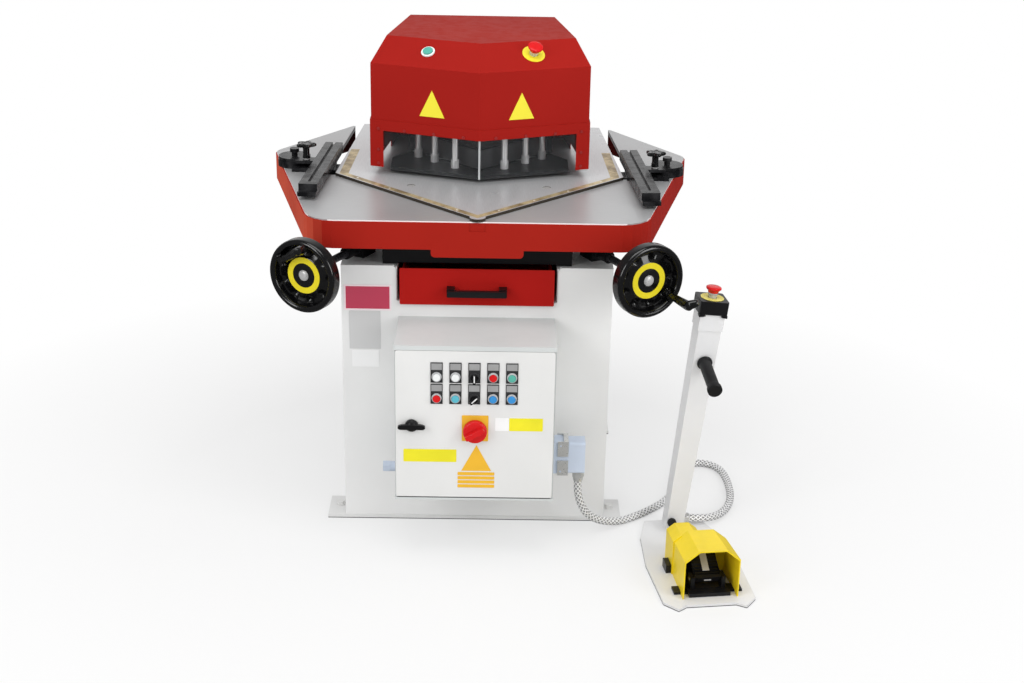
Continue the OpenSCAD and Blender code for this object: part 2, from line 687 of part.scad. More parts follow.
// The left wheel is the same piece, turned on its shaft
left_wheel_turn = 189;
crank_fold = 76;
module on_left_shaft() translate([-hub[0], hub[1], hub[2]]) rotate([90, 0, -shaft_yaw])
    rotate([0, 0, left_wheel_turn]) children();

// ---- drawer ----

module scrap_drawer() from_front() color("firebrick") {
    front_plate(moved(round_rect(drawer_w, drawer_h, 3), [0, drawer_z + drawer_h / 2]), drawer_y, 3);
    difference() {
        block([-drawer_box_w / 2 + seat, drawer_y + 3, drawer_z + 6 + seat],
            [drawer_box_w / 2 - seat, drawer_y + drawer_d, drawer_top - 8]);
        block([-drawer_box_w / 2 + 2, drawer_y + 5, drawer_z + 8], [drawer_box_w / 2 - 2, drawer_y + drawer_d - 2, drawer_top]);
    }
}

handle_z = drawer_z + 41;
module drawer_handle() from_front() color([0.08, 0.08, 0.09]) {
    for (x = [-66, 66]) translate([x - 10, drawer_y - 26, handle_z - 10]) cube([20, 26, 20]);
    translate([-74, drawer_y - 36, handle_z - 8]) cube([148, 12, 16]);
}

// ---- control box ----

module control_box() from_front() color("gainsboro") {
    difference() {
        block([-box_w / 2, -box_d, box_z], [box_w / 2, 0, box_z + box_h]);
        block([-box_w / 2 + 2, -box_d - 1, box_z + 2], [box_w / 2 - 2, -2, box_z + box_h - 2]);
    }
    for (z = [[box_z, door_z - 1], [door_top + 1, box_z + box_h]])
        block([-box_w / 2, door_face, z[0]], [box_w / 2, -box_d, z[1]]);
    for (z = [door_z - 1.5, door_top - 7]) translate([hinge_x, hinge_y, z]) cylinder(r = 2, h = 8.5);
}

module door() from_front() color("whitesmoke") difference() {
    front_plate(moved(round_rect(door_w, door_h, 6), [0, door_z + door_h / 2]), door_face, door_t);
    difference() {
        block([-door_w / 2 + door_sheet, door_face + door_sheet, door_z + door_sheet],
            [door_w / 2 - door_sheet, door_y + 1, door_top - door_sheet]);
        for (z = [door_z, door_top - 10]) translate([hinge_x - 6, hinge_y - 6, z]) cube([12, 12, 10]);
    }
    for (z = [door_z - 2, door_top - 8.5]) translate([hinge_x, hinge_y, z]) cylinder(r = 2 + fit, h = 11);
    bar_y(6 + fit, [latch_at[0], door_face - 1, latch_at[1]], 6);
    bar_y(6 + fit, [switch_at[0], door_face - 1, switch_at[1]], 6);
    button_places() bar_y(stem_r + seat, [0, door_face - 1, 0], 6);
}

module button_places() for (i = [0 : 4], z = button_z) translate([button_x0 + i * button_dx, 0, z]) children();

// Label holders, switch plate, sign plates and the two pilot lamps on the door
module door_fittings() from_front() {
    color([0.15, 0.15, 0.16]) difference() {
        button_places() translate([-15, door_face - holder_t, -16]) cube([30, holder_t, 54]);
        button_places() bar_y(stem_r + seat, [0, door_face - 3, 0], 6);
    }
    color("gold") difference() {
        translate([switch_at[0] - 33, door_face - 2, switch_at[1] - 29]) cube([66, 2, 70]);
        bar_y(6 + fit, [switch_at[0], door_face - 3, switch_at[1]], 6);
    }
    color("gold") {
        door_label([86, -12.5], [door_w / 2 - 27, 22.5]);
        door_label([19 - door_w / 2, -100.5], [-45, -65.5]);
        front_plate([[-33, door_mid - 124.5], [43, door_mid - 124.5], [5, door_mid - 52.5]], door_face - 0.6, 0.6);
        for (i = [0 : 3]) door_label([-42, -171.5 + i * 11.5], [51, -162.5 + i * 11.5]);
    }
    color("white") {
        door_label([51, -12.5], [85.5, 22.5]);
        for (i = [0, 1]) push_button(i, 0);
    }
}

// A thin plate on the door, from its lower left to its upper right corner, heights from the door's middle
module door_label(from, to) block([from[0], door_face - 0.6, door_mid + from[1]], [to[0], door_face, door_mid + to[1]]);

// One push button of the panel: its cap stands in its holder, its stem through the door
module push_button(i, row) {
    at = [button_x0 + i * button_dx, 0, button_z[row]];
    translate(at) {
        bar_y(button_r, [0, door_face - holder_t - 8, 0], 5);
        bar_y(stem_r, [0, door_face - holder_t - 3.5, 0], 14);
    }
}

module selector(i, row, turn) {
    translate([button_x0 + i * button_dx, 0, button_z[row]]) rotate([0, turn, 0]) {
        bar_y(button_r, [0, door_face - holder_t - 6, 0], 6 - seat);
        bar_y(stem_r, [0, door_face - holder_t - 3.5, 0], 14);
        translate([-3.5, door_face - holder_t - 17, -10]) cube([7, 12, 20]);
    }
}

module stop_button() from_front() color("crimson") push_button(3, 0);
module start_button() from_front() color("lightseagreen") push_button(4, 0);
module red_button() from_front() color("crimson") push_button(0, 1);
module teal_button() from_front() color("skyblue") push_button(1, 1);
module blue_button_left() from_front() color("dodgerblue") push_button(3, 1);
module blue_button_right() from_front() color("dodgerblue") push_button(4, 1);
module mode_selector() from_front() color([0.08, 0.08, 0.08]) selector(2, 0, 0);
module stroke_selector() from_front() color([0.08, 0.08, 0.08]) selector(2, 1, 45);

module door_latch() from_front() color([0.08, 0.08, 0.09]) translate([latch_at[0], 0, latch_at[1]]) {
    bar_y(14, [0, door_face - 10, 0], 9.7);
    bar_y(6, [0, door_face - 1, 0], door_t + 6);
    translate([-34, door_face - 18, -6]) cube([68, 9, 12]);
    translate([-34, door_y + 4, -8]) cube([44, 3, 16]);
}

module main_switch() from_front() color("red") translate([switch_at[0], 0, switch_at[1]]) {
    bar_y(30, [0, door_face - 20, 0], 17.7);
    bar_y(6, [0, door_face - 3, 0], 24);
    rotate([0, switch_turn, 0]) translate([-8, door_face - 32, -27]) cube([16, 14, 54]);
}

module plug_connector() from_front() {
    color("lightsteelblue") {
        block([plug_x, plug_y - 24, plug_z[0]], [plug_x + plug_base_w, plug_y + 24, plug_z[1]]);
        translate([plug_x + plug_base_w, plug_y, (plug_z[0] + plug_z[1]) / 2]) rotate([90, 0, 90])
            linear_extrude(plug_hood_w) polygon(round_rect(48, plug_z[1] - plug_z[0], 6));
        for (z = [-1, 1]) translate([lever_pin[0], plug_y + lever_out, (plug_z[0] + plug_z[1]) / 2 + z * lever_pin[1]])
            rotate([90, 0, 0]) cylinder(r = 2.5, h = 2 * lever_out);
    }
    color("slategray") {
        translate([-plug_x - 18, plug_y, box_z + 43]) rotate([0, 90, 0]) cylinder(r = 13, h = 18);
        translate([-plug_x - 36, plug_y, box_z + 43]) rotate([0, 90, 0]) cylinder(r = 15, h = 18, $fn = 6);
    }
}

// Locking lever over one end of the plug; end is 1 above and -1 below
lever_pin = [plug_x + 20, 36];
lever_in = 24 + seat;
lever_out = 27.5;
plug_half = (plug_z[1] - plug_z[0]) / 2;
lever_top = plug_half + 4;
module plug_lever(end) from_front() color("silver")
    translate([0, plug_y, (plug_z[0] + plug_z[1]) / 2]) mirror([0, 0, end < 0 ? 1 : 0]) difference() {
        union() {
            for (y = [-lever_out, lever_in]) translate([lever_pin[0] - 8, y, 6]) cube([28, lever_out - lever_in, lever_top - 6]);
            translate([lever_pin[0] + 8, -lever_out, plug_half + seat])
                cube([12, 2 * lever_out, lever_top - plug_half - seat]);
        }
        translate([lever_pin[0], 40, lever_pin[1]]) rotate([90, 0, 0]) cylinder(r = 2.5 + fit, h = 80);
    }
module plug_lever_upper() plug_lever(1);
module plug_lever_lower() plug_lever(-1);

module hose() from_front() color("silver") tube(hose_route, hose_r, 10);

// A closed tube of radius r along a route, with n sides
function ring(at, way, r, n) = let (x = unit(cross(way, [0.3, 0.2, 1])), y = unit(cross(way, x)))
    [for (i = [0 : n - 1]) at + r * (cos(360 * i / n) * x + sin(360 * i / n) * y)];
module tube(route, r, n) {
    last = len(route) - 1;
    rings = [for (i = [0 : last]) each ring(route[i], unit(route[min(i + 1, last)] - route[max(i - 1, 0)]), r, n)];
    sides = [for (k = [0 : last - 1], i = [0 : n - 1])
        [k * n + i, k * n + (i + 1) % n, (k + 1) * n + (i + 1) % n, (k + 1) * n + i]];
    polyhedron(rings, concat([[for (i = [n - 1 : -1 : 0]) i]], sides, [[for (i = [0 : n - 1]) last * n + i]]), convexity = 6);
}

// ---- signs ----

module hood_sign(x) translate([x, hood_tip_y + x * v_slope, wall_top - 127]) rotate([90, 0, v_turn])
    linear_extrude(1) polygon([[-35, 0], [35, 0], [0, 70]]);

// A thin plate on the cabinet's front, measured from its top left corner
module cabinet_label(from, to)
    block([from[0] - cab_w / 2, -1, cab_top + from[1]], [to[0] - cab_w / 2, 0, cab_top + to[1]]);

module sign_plates() from_front() {
    color("gold") {
        hood_sign(108);
        on_side(-1) hood_sign(125);
    }
    color("gold") on_slope() translate([0, 0, 0.2]) difference() {
        cylinder(r = 30, h = 1);
        translate([0, 0, -1]) cylinder(r = control_stem_r + seat, h = 3);
    }
    color("white") mirror([1, 0, 0]) on_slope() translate([0, 0, 0.2]) difference() {
        cylinder(r = 18, h = 3.6);
        translate([0, 0, -1]) cylinder(r = 13 + seat, h = 6);
    }
    color("crimson") cabinet_label([7, -121], [127, -52]);
    color("white") {
        cabinet_label([19, -227], [99, -123]);
        cabinet_label([25, -277], [94, -230]);
    }
}

// ---- gauges ----

// Where a gauge stands: the right one is slid further forward along its slot
function slot_shift(side) = side > 0 ? -gauge_ahead : 0;
module at_gauge(side) from_front() on_side(side)
    translate(slot_shift(side) * [-sin(slot_lean), cos(slot_lean), 0]) children();

// Carriage: base plate with a tongue in the slot, a clamp foot under the table and the protractor disc
module gauge_carriage(side) at_gauge(side) color([0.3, 0.3, 0.31]) {
    slot_x = bed_edge(gauge_y) + wing_gap / 2;
    translate([slot_x, gauge_y, 0]) rotate([0, 0, slot_lean]) {
        translate([-tongue_w / 2, -30, table_bottom - 1]) cube([tongue_w, 60, table_t + 4]);
        translate([-wing_gap / 2 - 6, -30, table_bottom - seat - 10]) cube([wing_gap + 12, 60, 10]);
    }
    translate([0, 0, table_h + seat]) {
        translate([slot_x - 2, gauge_y - 44, 0]) cube([gauge_pivot[0] - slot_x + 2, 88, bed_t]);
        translate([gauge_pivot[0], gauge_pivot[1], 0]) {
            cylinder(r = disc_r, h = 18);
            cylinder(r = 8, h = 44);
            translate([0, 0, 36]) cylinder(r = 12.5, h = 10);
        }
    }
}
module gauge_carriage_left() gauge_carriage(-1);
module gauge_carriage_right() gauge_carriage(1);

// Fence: disc and arm round the carriage's pin, and a two-step bar with end blocks
module gauge_fence(side) at_gauge(side) color([0.3, 0.3, 0.31]) {
    z0 = table_h + 2 * seat + 18;
    difference() {
        union() {
            translate([gauge_pivot[0], gauge_pivot[1], z0]) cylinder(r = disc_r - 2, h = 8);
            translate([fence_x + 10, knob_at[1] - 18, z0 + 2]) cube([knob_at[0] + 28 - fence_x - 10, 36, 8]);
        }
        translate([gauge_pivot[0], gauge_pivot[1], z0 - 1]) cylinder(r = 8 + fit, h = 20);
    }
    translate([knob_at[0], knob_at[1], z0 + 10]) cylinder(r = knob_pin_r, h = 24);
    translate([fence_x, fence_pin_y, fence_z]) rotate([0, 0, slot_lean])
        translate([-fence_w / 2, fence_front_y - fence_pin_y, 0]) {
            cube([fence_w, fence_len, 11]);
            translate([0, 20, 11]) cube([fence_w, 22, 17]);
            translate([0, 20, 11]) cube([20, fence_len - 20, 17]);
            translate([28, 20, 11]) cube([fence_w - 28, fence_len - 20, 17]);
            translate([18, 20, 11]) cube([12, fence_len - 20, 11]);
        }
}
module gauge_fence_left() gauge_fence(-1);
module gauge_fence_right() gauge_fence(1);

// Clamp knob on the fence's stud: a long sleeve under a five-lobed head
module star_knob(side) at_gauge(side) color([0.07, 0.07, 0.08])
    translate([knob_at[0], knob_at[1], table_h + 3 * seat + 28]) difference() {
        union() {
            cylinder(r = 10, h = 36);
            translate([0, 0, 34]) cylinder(r = 17, h = 11);
            for (i = [0 : 4]) rotate([0, 0, 72 * i]) translate([20, 0, 34]) cylinder(r = 9, h = 10);
        }
        translate([0, 0, -1]) cylinder(r = knob_pin_r + fit, h = 27);
    }
module star_knob_left() star_knob(-1);
module star_knob_right() star_knob(1);

// ---- controls on the hood and the post ----

module hood_start_button() from_front() color("lightseagreen") mirror([1, 0, 0]) on_slope() {
    translate([0, 0, -16]) cylinder(r = control_stem_r, h = 20);
    translate([0, 0, 4]) cylinder(r = 13, h = 4);
}

module mushroom() {
    translate([0, 0, -14]) cylinder(r = control_stem_r, h = 30);
    translate([0, 0, 14]) cylinder(r1 = 13, r2 = 20, h = 11);
    translate([0, 0, 25]) cylinder(r1 = 20, r2 = 14, h = 4);
}

module hood_estop() from_front() color("crimson") on_slope() mushroom();
module post_estop() from_front() color("crimson") in_post() translate([0, 0, post_top + 36]) mushroom();

// ---- pedal stand ----

module in_stand() translate([stand_at[0], stand_at[1], 0]) rotate([0, 0, stand_yaw]) children();
module in_post() in_stand() translate([post_at[0], post_at[1], stand_t]) rotate([0, post_lean, 0]) children();

post_wall = 3;
collar_h = 45;
collar_w = post_head_w + 5;
post_top = post_h + collar_h;
function post_half(z) = (post_foot_w + (post_head_w - post_foot_w) * z / post_h) / 2;

// The tapered post, drawn in by the wall's thickness
module post_form(in, from) {
    low = 2 * (post_half(from) - in);
    translate([0, 0, from]) linear_extrude(post_h - from, scale = (post_head_w - 2 * in) / low)
        square(low, center = true);
}

module pedal_stand() from_front() color("whitesmoke") {
    in_stand() difference() {
        slab(both([[62, pedal_front - 28], [85, pedal_front - 44], [116, pedal_front - 8], [120, -200], [104, -57],
            [75, 30]]), 0, stand_t);
        for (x = [-40, 40]) translate([pedal_at + x, pedal_front + 22, -1]) cylinder(r = 4, h = stand_t + 2);
    }
    difference() {
        in_post() difference() {
            union() {
                post_form(0, -12);
                translate([-collar_w / 2, -collar_w / 2, post_h]) cube([collar_w, collar_w, collar_h]);
            }
            post_form(post_wall, -20);
            translate([post_wall - post_head_w / 2, post_wall - post_head_w / 2, post_h - 1])
                cube([post_head_w - 2 * post_wall, post_head_w - 2 * post_wall, collar_h + 2]);
        }
        in_stand() translate([-200, -200, -100]) cube([400, 400, 100 + stand_t]);
    }
}

// Black switch housing on the post, with a yellow disc under the stop button
module post_head() from_front() in_post() {
    color([0.08, 0.08, 0.09]) difference() {
        translate([0, 0, post_top]) linear_extrude(35) polygon(round_rect(collar_w + 10, collar_w + 10, 6));
        translate([0, 0, post_top + 4]) cylinder(r = control_stem_r + seat, h = 40);
    }
    color("gold") translate([0, 0, post_top + 35]) difference() {
        cylinder(r = 30, h = 1);
        translate([0, 0, -1]) cylinder(r = control_stem_r + seat, h = 3);
    }
}

// Handle to carry the post by, and the small black knob low on its front
module post_grip() from_front() color([0.08, 0.08, 0.09]) {
    in_post() translate([0, -post_half(grip_z), grip_z]) difference() {
        rotate([90 + grip_droop, 0, 0]) {
            translate([0, 0, -10]) cylinder(r = 20, h = 18);
            cylinder(r = 16, h = 118);
            translate([0, 0, 118]) cylinder(r = 19, h = 14);
        }
        translate([-50, -seat, -50]) cube(100);
    }
    in_post() translate([-14, -post_half(27) - 0.1, 27]) rotate([90, 0, 0]) {
        cylinder(r = 6, h = 8);
        translate([0, 0, 8]) cylinder(r = 12, h = 14);
    }
}
grip_z = 484;
grip_droop = 11;

treadle_pin = [pedal_at, pedal_front + 46, stand_t + 30];
treadle_w = 66;
treadle_l = 104;
treadle_rise = 27;    // slope of the raised treadle, up to its far end

module pedal_body() from_front() color([0.09, 0.09, 0.1]) in_stand() difference() {
    union() {
        translate([pedal_at, 0, 0]) {
            slab(both([[52, pedal_front + 6], [52, pedal_waist - 14]]), stand_t, stand_t + 10);
            block([-86, pedal_front + 24, stand_t], [86, pedal_front + 56, stand_t + 6]);
            block([-44, pedal_front + 30, stand_t + 10], [44, pedal_front + 62, stand_t + 40]);
        }
        block([neck_at - neck_half + 12, pedal_waist - 16, stand_t],
            [neck_at + neck_half - 12, pedal_back - 12, stand_t + 26]);
        block([neck_at - neck_half - 13, pedal_waist - 14, stand_t],
            [neck_at - neck_half + 13, pedal_waist + 26, stand_t + 22]);
    }
    translate([treadle_pin[0], 0, 0]) block([-treadle_w / 2 - 1, pedal_front + 20, stand_t + 10.5],
        [treadle_w / 2 + 1, pedal_front + 80, stand_t + 60]);
    translate([treadle_pin[0] - 60, treadle_pin[1], treadle_pin[2]]) rotate([0, 90, 0]) cylinder(r = 4, h = 120);
}

module treadle() from_front() color([0.1, 0.1, 0.11]) in_stand() translate(treadle_pin) {
    for (s = [-1, 1]) mirror([s < 0 ? 1 : 0, 0, 0]) translate([treadle_w / 2 - 1, 0, 0]) rotate([0, 90, 0])
        cylinder(r = 4 - fit, h = 45 - treadle_w / 2);
    rotate([treadle_rise, 0, 0]) {
        translate([-treadle_w / 2, -8, 1]) cube([treadle_w, treadle_l, 8]);
        translate([-treadle_w / 2, -7, -7]) cube([treadle_w, 14, 9]);
        translate([-treadle_w / 2, -8, 8.5]) cube([treadle_w, 10, 5]);
    }
}

// Moulded cover: a wide mouth in front, drawn in to a low back
module arch(y, half, top, cut, floor) translate([0, y, 0]) rotate([90, 0, 0]) linear_extrude(0.1)
    polygon([[-half, floor], [half, floor], [half, top - cut * 0.8], [half - cut, top], [cut - half, top],
        [-half, top - cut * 0.8]]);

module guard_form(in) {
    mouth = pedal_w / 2 - in;
    top = stand_t + pedal_h - in;
    floor = in > 0 ? stand_t - 1 : stand_t;
    front = in > 0 ? pedal_front - 1 : pedal_front;
    waist = pedal_waist - in;
    neck = neck_half - in;
    hull() {
        translate([pedal_at, 0, 0]) arch(front, mouth, top, 34, floor);
        translate([pedal_at, 0, 0]) arch(waist - 12, mouth * 0.96, top - 12, 34, floor);
        translate([pedal_at - 4, 0, 0]) arch(waist, mouth * 0.8, top - 26, 30, floor);
    }
    hull() {
        translate([neck_at, 0, 0]) arch(waist - 20, neck, top - 22, 20, floor);
        translate([neck_at, 0, 0]) arch(pedal_back - 14 - in, neck - 2, top - 30, 20, floor);
        translate([neck_at, 0, 0]) arch(pedal_back - in, neck - 8, top - 62, 16, floor);
    }
}

module pedal_guard() from_front() color("gold") in_stand() difference() {
    guard_form(0);
    guard_form(3);
    block([pedal_at - 90, pedal_front + 23.5, stand_t - 1], [pedal_at + 90, pedal_front + 56.5, stand_t + 6.4]);
    block([neck_at - neck_half - 14, pedal_waist - 14.4, stand_t - 1],
        [neck_at - neck_half + 14, pedal_waist + 26.4, stand_t + 22.4]);
}

base_plate();
cabinet();
rear_cover();
press_frame();
table_top();
table_skirt();
bed_plate();
edge_rulers();
screws_and_glands();
scrap_chute();
guard_frame();
guard_screen();
hood();
hydraulic_cylinder();
power_pack();
control_box();
plug_connector();
hose();
pedal_stand();
post_head();
post_grip();
pedal_body();
pedal_guard();
shaft_housings();
sign_plates();
ram();
upper_blades();
hold_down();
scrap_drawer();
drawer_handle();
door();
door_fittings();
door_latch();
main_switch();
stop_button();
start_button();
red_button();
teal_button();
blue_button_left();
blue_button_right();
mode_selector();
stroke_selector();
hood_start_button();
hood_estop();
post_estop();
treadle();
handwheel_left();
handwheel_right();
crank_left();
crank_right();
blade_holder_left();
blade_holder_right();
gauge_carriage_left();
gauge_carriage_right();
gauge_fence_left();
gauge_fence_right();
star_knob_left();
star_knob_right();
plug_lever_upper();
plug_lever_lower();
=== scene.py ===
import json
import math

import bmesh
import bpy
from mathutils import Matrix, Vector


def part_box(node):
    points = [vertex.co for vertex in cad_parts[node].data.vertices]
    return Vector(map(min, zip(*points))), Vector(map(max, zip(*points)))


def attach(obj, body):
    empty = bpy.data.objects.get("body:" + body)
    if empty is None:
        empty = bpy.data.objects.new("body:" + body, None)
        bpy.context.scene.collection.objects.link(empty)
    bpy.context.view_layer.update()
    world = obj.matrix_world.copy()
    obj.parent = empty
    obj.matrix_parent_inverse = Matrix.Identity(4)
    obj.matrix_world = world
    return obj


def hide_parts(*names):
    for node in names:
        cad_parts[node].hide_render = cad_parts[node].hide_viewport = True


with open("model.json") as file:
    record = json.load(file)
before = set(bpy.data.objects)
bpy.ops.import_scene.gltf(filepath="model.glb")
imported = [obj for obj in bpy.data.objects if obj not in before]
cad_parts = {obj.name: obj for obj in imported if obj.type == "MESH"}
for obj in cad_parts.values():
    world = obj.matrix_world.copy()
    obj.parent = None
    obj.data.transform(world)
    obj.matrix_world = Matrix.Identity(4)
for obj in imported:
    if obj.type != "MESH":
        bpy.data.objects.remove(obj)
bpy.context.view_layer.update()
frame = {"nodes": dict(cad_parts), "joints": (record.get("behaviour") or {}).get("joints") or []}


# ---- Camera ----
# It stands in front of the machine at head height and a little to the right, and looks down on the table. The
# colours are shown as they are, so that the floor can be pure white.

def moved(x, y, z):
    return Matrix.Translation((x, y, z))


def rotated(degrees, axis):
    return Matrix.Rotation(math.radians(degrees), 4, axis)


def camera_here(place, turn, down, tilt, lens):
    data = bpy.data.cameras.new("camera")
    data.lens = lens
    data.sensor_width = 36
    data.clip_end = 60
    cam = bpy.data.objects.new("camera", data)
    bpy.context.scene.collection.objects.link(cam)
    cam.matrix_world = moved(*place) @ (rotated(-turn, "Z") @ rotated(90 - down, "X") @ rotated(tilt, "Z"))
    bpy.context.scene.camera = cam


camera_here(place=(0.043, -4.2544, 2.0963), turn=0.706, down=21.927, tilt=1.115, lens=57.9)
bpy.context.scene.view_settings.view_transform = "Standard"


# ---- Hose ----
# A flexible metal conduit with a braided steel cover runs from the plug on the control box to the post's foot.
# It lies on the floor behind the post in one open loop. The braid is two families of strands that cross. The
# route is in millimetres from the machine's middle, the cabinet's front and the floor.

class Wire:
    """A socket among a graph's nodes, so that sums on it read as sums."""

    def __init__(self, graph, socket):
        self.graph = graph
        self.socket = socket

    def sum(self, operation, *others):
        return self.graph.add("Math", {"operation": operation}, [self, *others])

    def __add__(self, other): return self.sum("ADD", other)
    def __radd__(self, other): return self.sum("ADD", other)
    def __mul__(self, other): return self.sum("MULTIPLY", other)
    def __rmul__(self, other): return self.sum("MULTIPLY", other)
    def __sub__(self, other): return self.sum("SUBTRACT", other)
    def __rsub__(self, other): return self.graph.add("Math", {"operation": "SUBTRACT"}, [other, self])
    def __gt__(self, other): return self.sum("GREATER_THAN", other)
    def __lt__(self, other): return self.sum("LESS_THAN", other)
    def __abs__(self): return self.sum("ABSOLUTE")
    def __mod__(self, other): return self.sum("FLOORED_MODULO", other)
    def sine(self): return self.sum("SINE")
    def root(self): return self.sum("SQRT")
    def higher(self, other): return self.sum("MAXIMUM", other)


class Graph:
    """The nodes of a material, or of the room's light."""

    def __init__(self, tree):
        self.tree = tree

    def put(self, socket, value):
        if isinstance(value, Wire):
            self.tree.links.new(value.socket, socket)
        else:
            socket.default_value = value

    def add(self, kind, settings, values=(), out=0):
        """One node, from its settings and its sockets' values or wires, by name or in order."""
        node = self.tree.nodes.new("ShaderNode" + kind)
        for name, value in settings.items():
            setattr(node, name, value)
        for name, value in values.items() if isinstance(values, dict) else enumerate(values):
            self.put(node.inputs[name], value)
        return Wire(self, node.outputs[out])

    def place(self, kind="Object"):
        """The point's x, y and z on the object in metres, or its parts on another map, such as the normal."""
        there = self.add("TexCoord", {}, out=kind)
        return [self.add("SeparateXYZ", {}, [there], i) for i in range(3)]

    def grain(self, scale, stretch=(1, 1, 1), detail=3):
        """A cloudy noise, stretched along the axes."""
        here = self.add("Mapping", {}, {"Vector": self.add("TexCoord", {}, out="Object"), "Scale": stretch})
        return self.add("TexNoise", {}, {"Vector": here, "Scale": scale, "Detail": detail})

    def ramp(self, wire, low, high):
        """0 where the wire is low, 1 where it is high."""
        return self.add("MapRange", {}, {"Value": wire, "From Min": low, "From Max": high})

    def blend(self, mask, below, above):
        """A colour between two, by a mask."""
        ends = [c if isinstance(c, Wire) else (*c, 1) for c in (below, above)]
        return self.add("Mix", {"data_type": "RGBA"}, {0: mask, 6: ends[0], 7: ends[1]}, out=2)


class Finish(Graph):
    """One material: its shader's own values, and whatever is worked out over the surface."""

    def __init__(self, name, color, **values):
        self.material = bpy.data.materials.new(name)
        self.material.use_nodes = True
        super().__init__(self.material.node_tree)
        self.shader = self.tree.nodes["Principled BSDF"]
        self.set(Base_Color=(*color, 1), **values)

    def set(self, **values):
        for name, value in values.items():
            self.put(self.shader.inputs[name.replace("_", " ")], value)
        return self

    def bump(self, height, depth, strength=0.5):
        bumps = self.add("Bump", {}, {"Strength": strength, "Distance": depth, "Height": height})
        return self.set(Normal=bumps)


class Shape:
    """A mesh in the making, from parts that each have a finish and a place."""

    def __init__(self):
        self.points, self.faces, self.marks, self.finishes = [], [], [], []

    def part(self, points, faces, finish, at=Matrix()):
        if finish not in self.finishes:
            self.finishes.append(finish)
        start = len(self.points)
        self.points += [at @ Vector(p) for p in points]
        self.faces += [[start + i for i in face] for face in faces]
        self.marks += [self.finishes.index(finish)] * len(faces)
        return self

    def lathe(self, profile, finish, at, sides, dent=None):
        """A round part from (radius, height) points. A dent moves a point, by its radius and its angle."""
        points, count = [], len(profile)
        for k in range(sides):
            turn = 2 * math.pi * k / sides
            for radius, height in profile:
                r, z = dent(radius, height, turn) if dent else (radius, height)
                points.append((r * math.cos(turn), r * math.sin(turn), z))
        pairs = [(k * count + i, (k + 1) % sides * count + i) for k in range(sides) for i in range(count - 1)]
        faces = [(a, b, b + 1, a + 1) for a, b in pairs]
        return self.part(points, faces, finish, at)

    def prism(self, outline, low, high, finish, at):
        """A plate with an outline, between two heights."""
        n = len(outline)
        walls = [(i, (i + 1) % n, (i + 1) % n + n, i + n) for i in range(n)]
        points = [(x, y, z) for z in (low, high) for x, y in outline]
        return self.part(points, [range(n - 1, -1, -1), range(n, 2 * n)] + walls, finish, at)

    def box(self, low, high, finish, at):
        outline = [(low[0], low[1]), (high[0], low[1]), (high[0], high[1]), (low[0], high[1])]
        return self.prism(outline, low[2], high[2], finish, at)

    def piece(self, name, body, edge=0, node=None, slot=None):
        """Ends the mesh: it is fixed to a body, its edges are broken, and it can stand for a CAD node."""
        mesh = bpy.data.meshes.new(name)
        mesh.from_pydata([tuple(p) for p in self.points], [], self.faces)
        for finish in self.finishes:
            mesh.materials.append(finish.material)
        for face, mark in zip(mesh.polygons, self.marks):
            face.material_index = mark
        made = bpy.data.objects.new(name, mesh)
        bpy.context.scene.collection.objects.link(made)
        finish_mesh(made)
        if edge:
            break_edges(made, edge)
        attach(made, body)
        if node:
            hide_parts(*node.split())
        return made


def break_edges(piece, width):
    """A fine rounded edge that catches the light."""
    bevel = piece.modifiers.new("edge", "BEVEL")
    bevel.width = width
    bevel.segments = 2
    bevel.limit_method = "ANGLE"
    bevel.angle_limit = math.radians(40)
    bevel.harden_normals = True


def finish_mesh(piece):
    """Turns the faces outwards and shades them smooth up to sharp corners."""
    work = bmesh.new()
    work.from_mesh(piece.data)
    bmesh.ops.remove_doubles(work, verts=work.verts, dist=1e-6)
    bmesh.ops.recalc_face_normals(work, faces=work.faces)
    for edge in work.edges:
        edge.smooth = not (len(edge.link_faces) == 2 and edge.calc_face_angle(0) > math.radians(35))
    for face in work.faces:
        face.smooth = True
    work.to_mesh(piece.data)
    work.free()


def smooth_route(points, step):
    """A round curve through the points, cut into short steps."""
    route = []
    last = len(points) - 1
    for i in range(last):
        a, b, c, d = (Vector(points[min(max(k, 0), last)]) for k in (i - 1, i, i + 1, i + 2))
        count = max(2, round((c - b).length / step))
        for k in range(count):
            t = k / count
            route.append(0.5 * (2 * b + (c - a) * t + (2 * a - 5 * b + 4 * c - d) * t ** 2
                                + (3 * b - a - 3 * c + d) * t ** 3))
    route.append(Vector(points[-1]))
    return route


def tube(route, radius, sides):
    """Points, faces and a lengthwise map of a round tube along a route."""
    points, faces, map_u = [], [], []
    side = (route[1] - route[0]).cross(Vector((0, 1, 0.2))).normalized()
    run = 0
    for i, here in enumerate(route):
        way = (route[min(i + 1, len(route) - 1)] - route[max(i - 1, 0)]).normalized()
        side = (side - way * side.dot(way)).normalized()
        up = way.cross(side)
        run += (here - route[i - 1]).length if i else 0
        map_u.append(run)
        for k in range(sides):
            turn = 2 * math.pi * k / sides
            points.append(here + radius * (math.cos(turn) * side + math.sin(turn) * up))
    for i in range(len(route) - 1):
        for k in range(sides):
            a, b = i * sides + k, i * sides + (k + 1) % sides
            faces.append((a, b, b + sides, a + sides))
    return points, faces, map_u


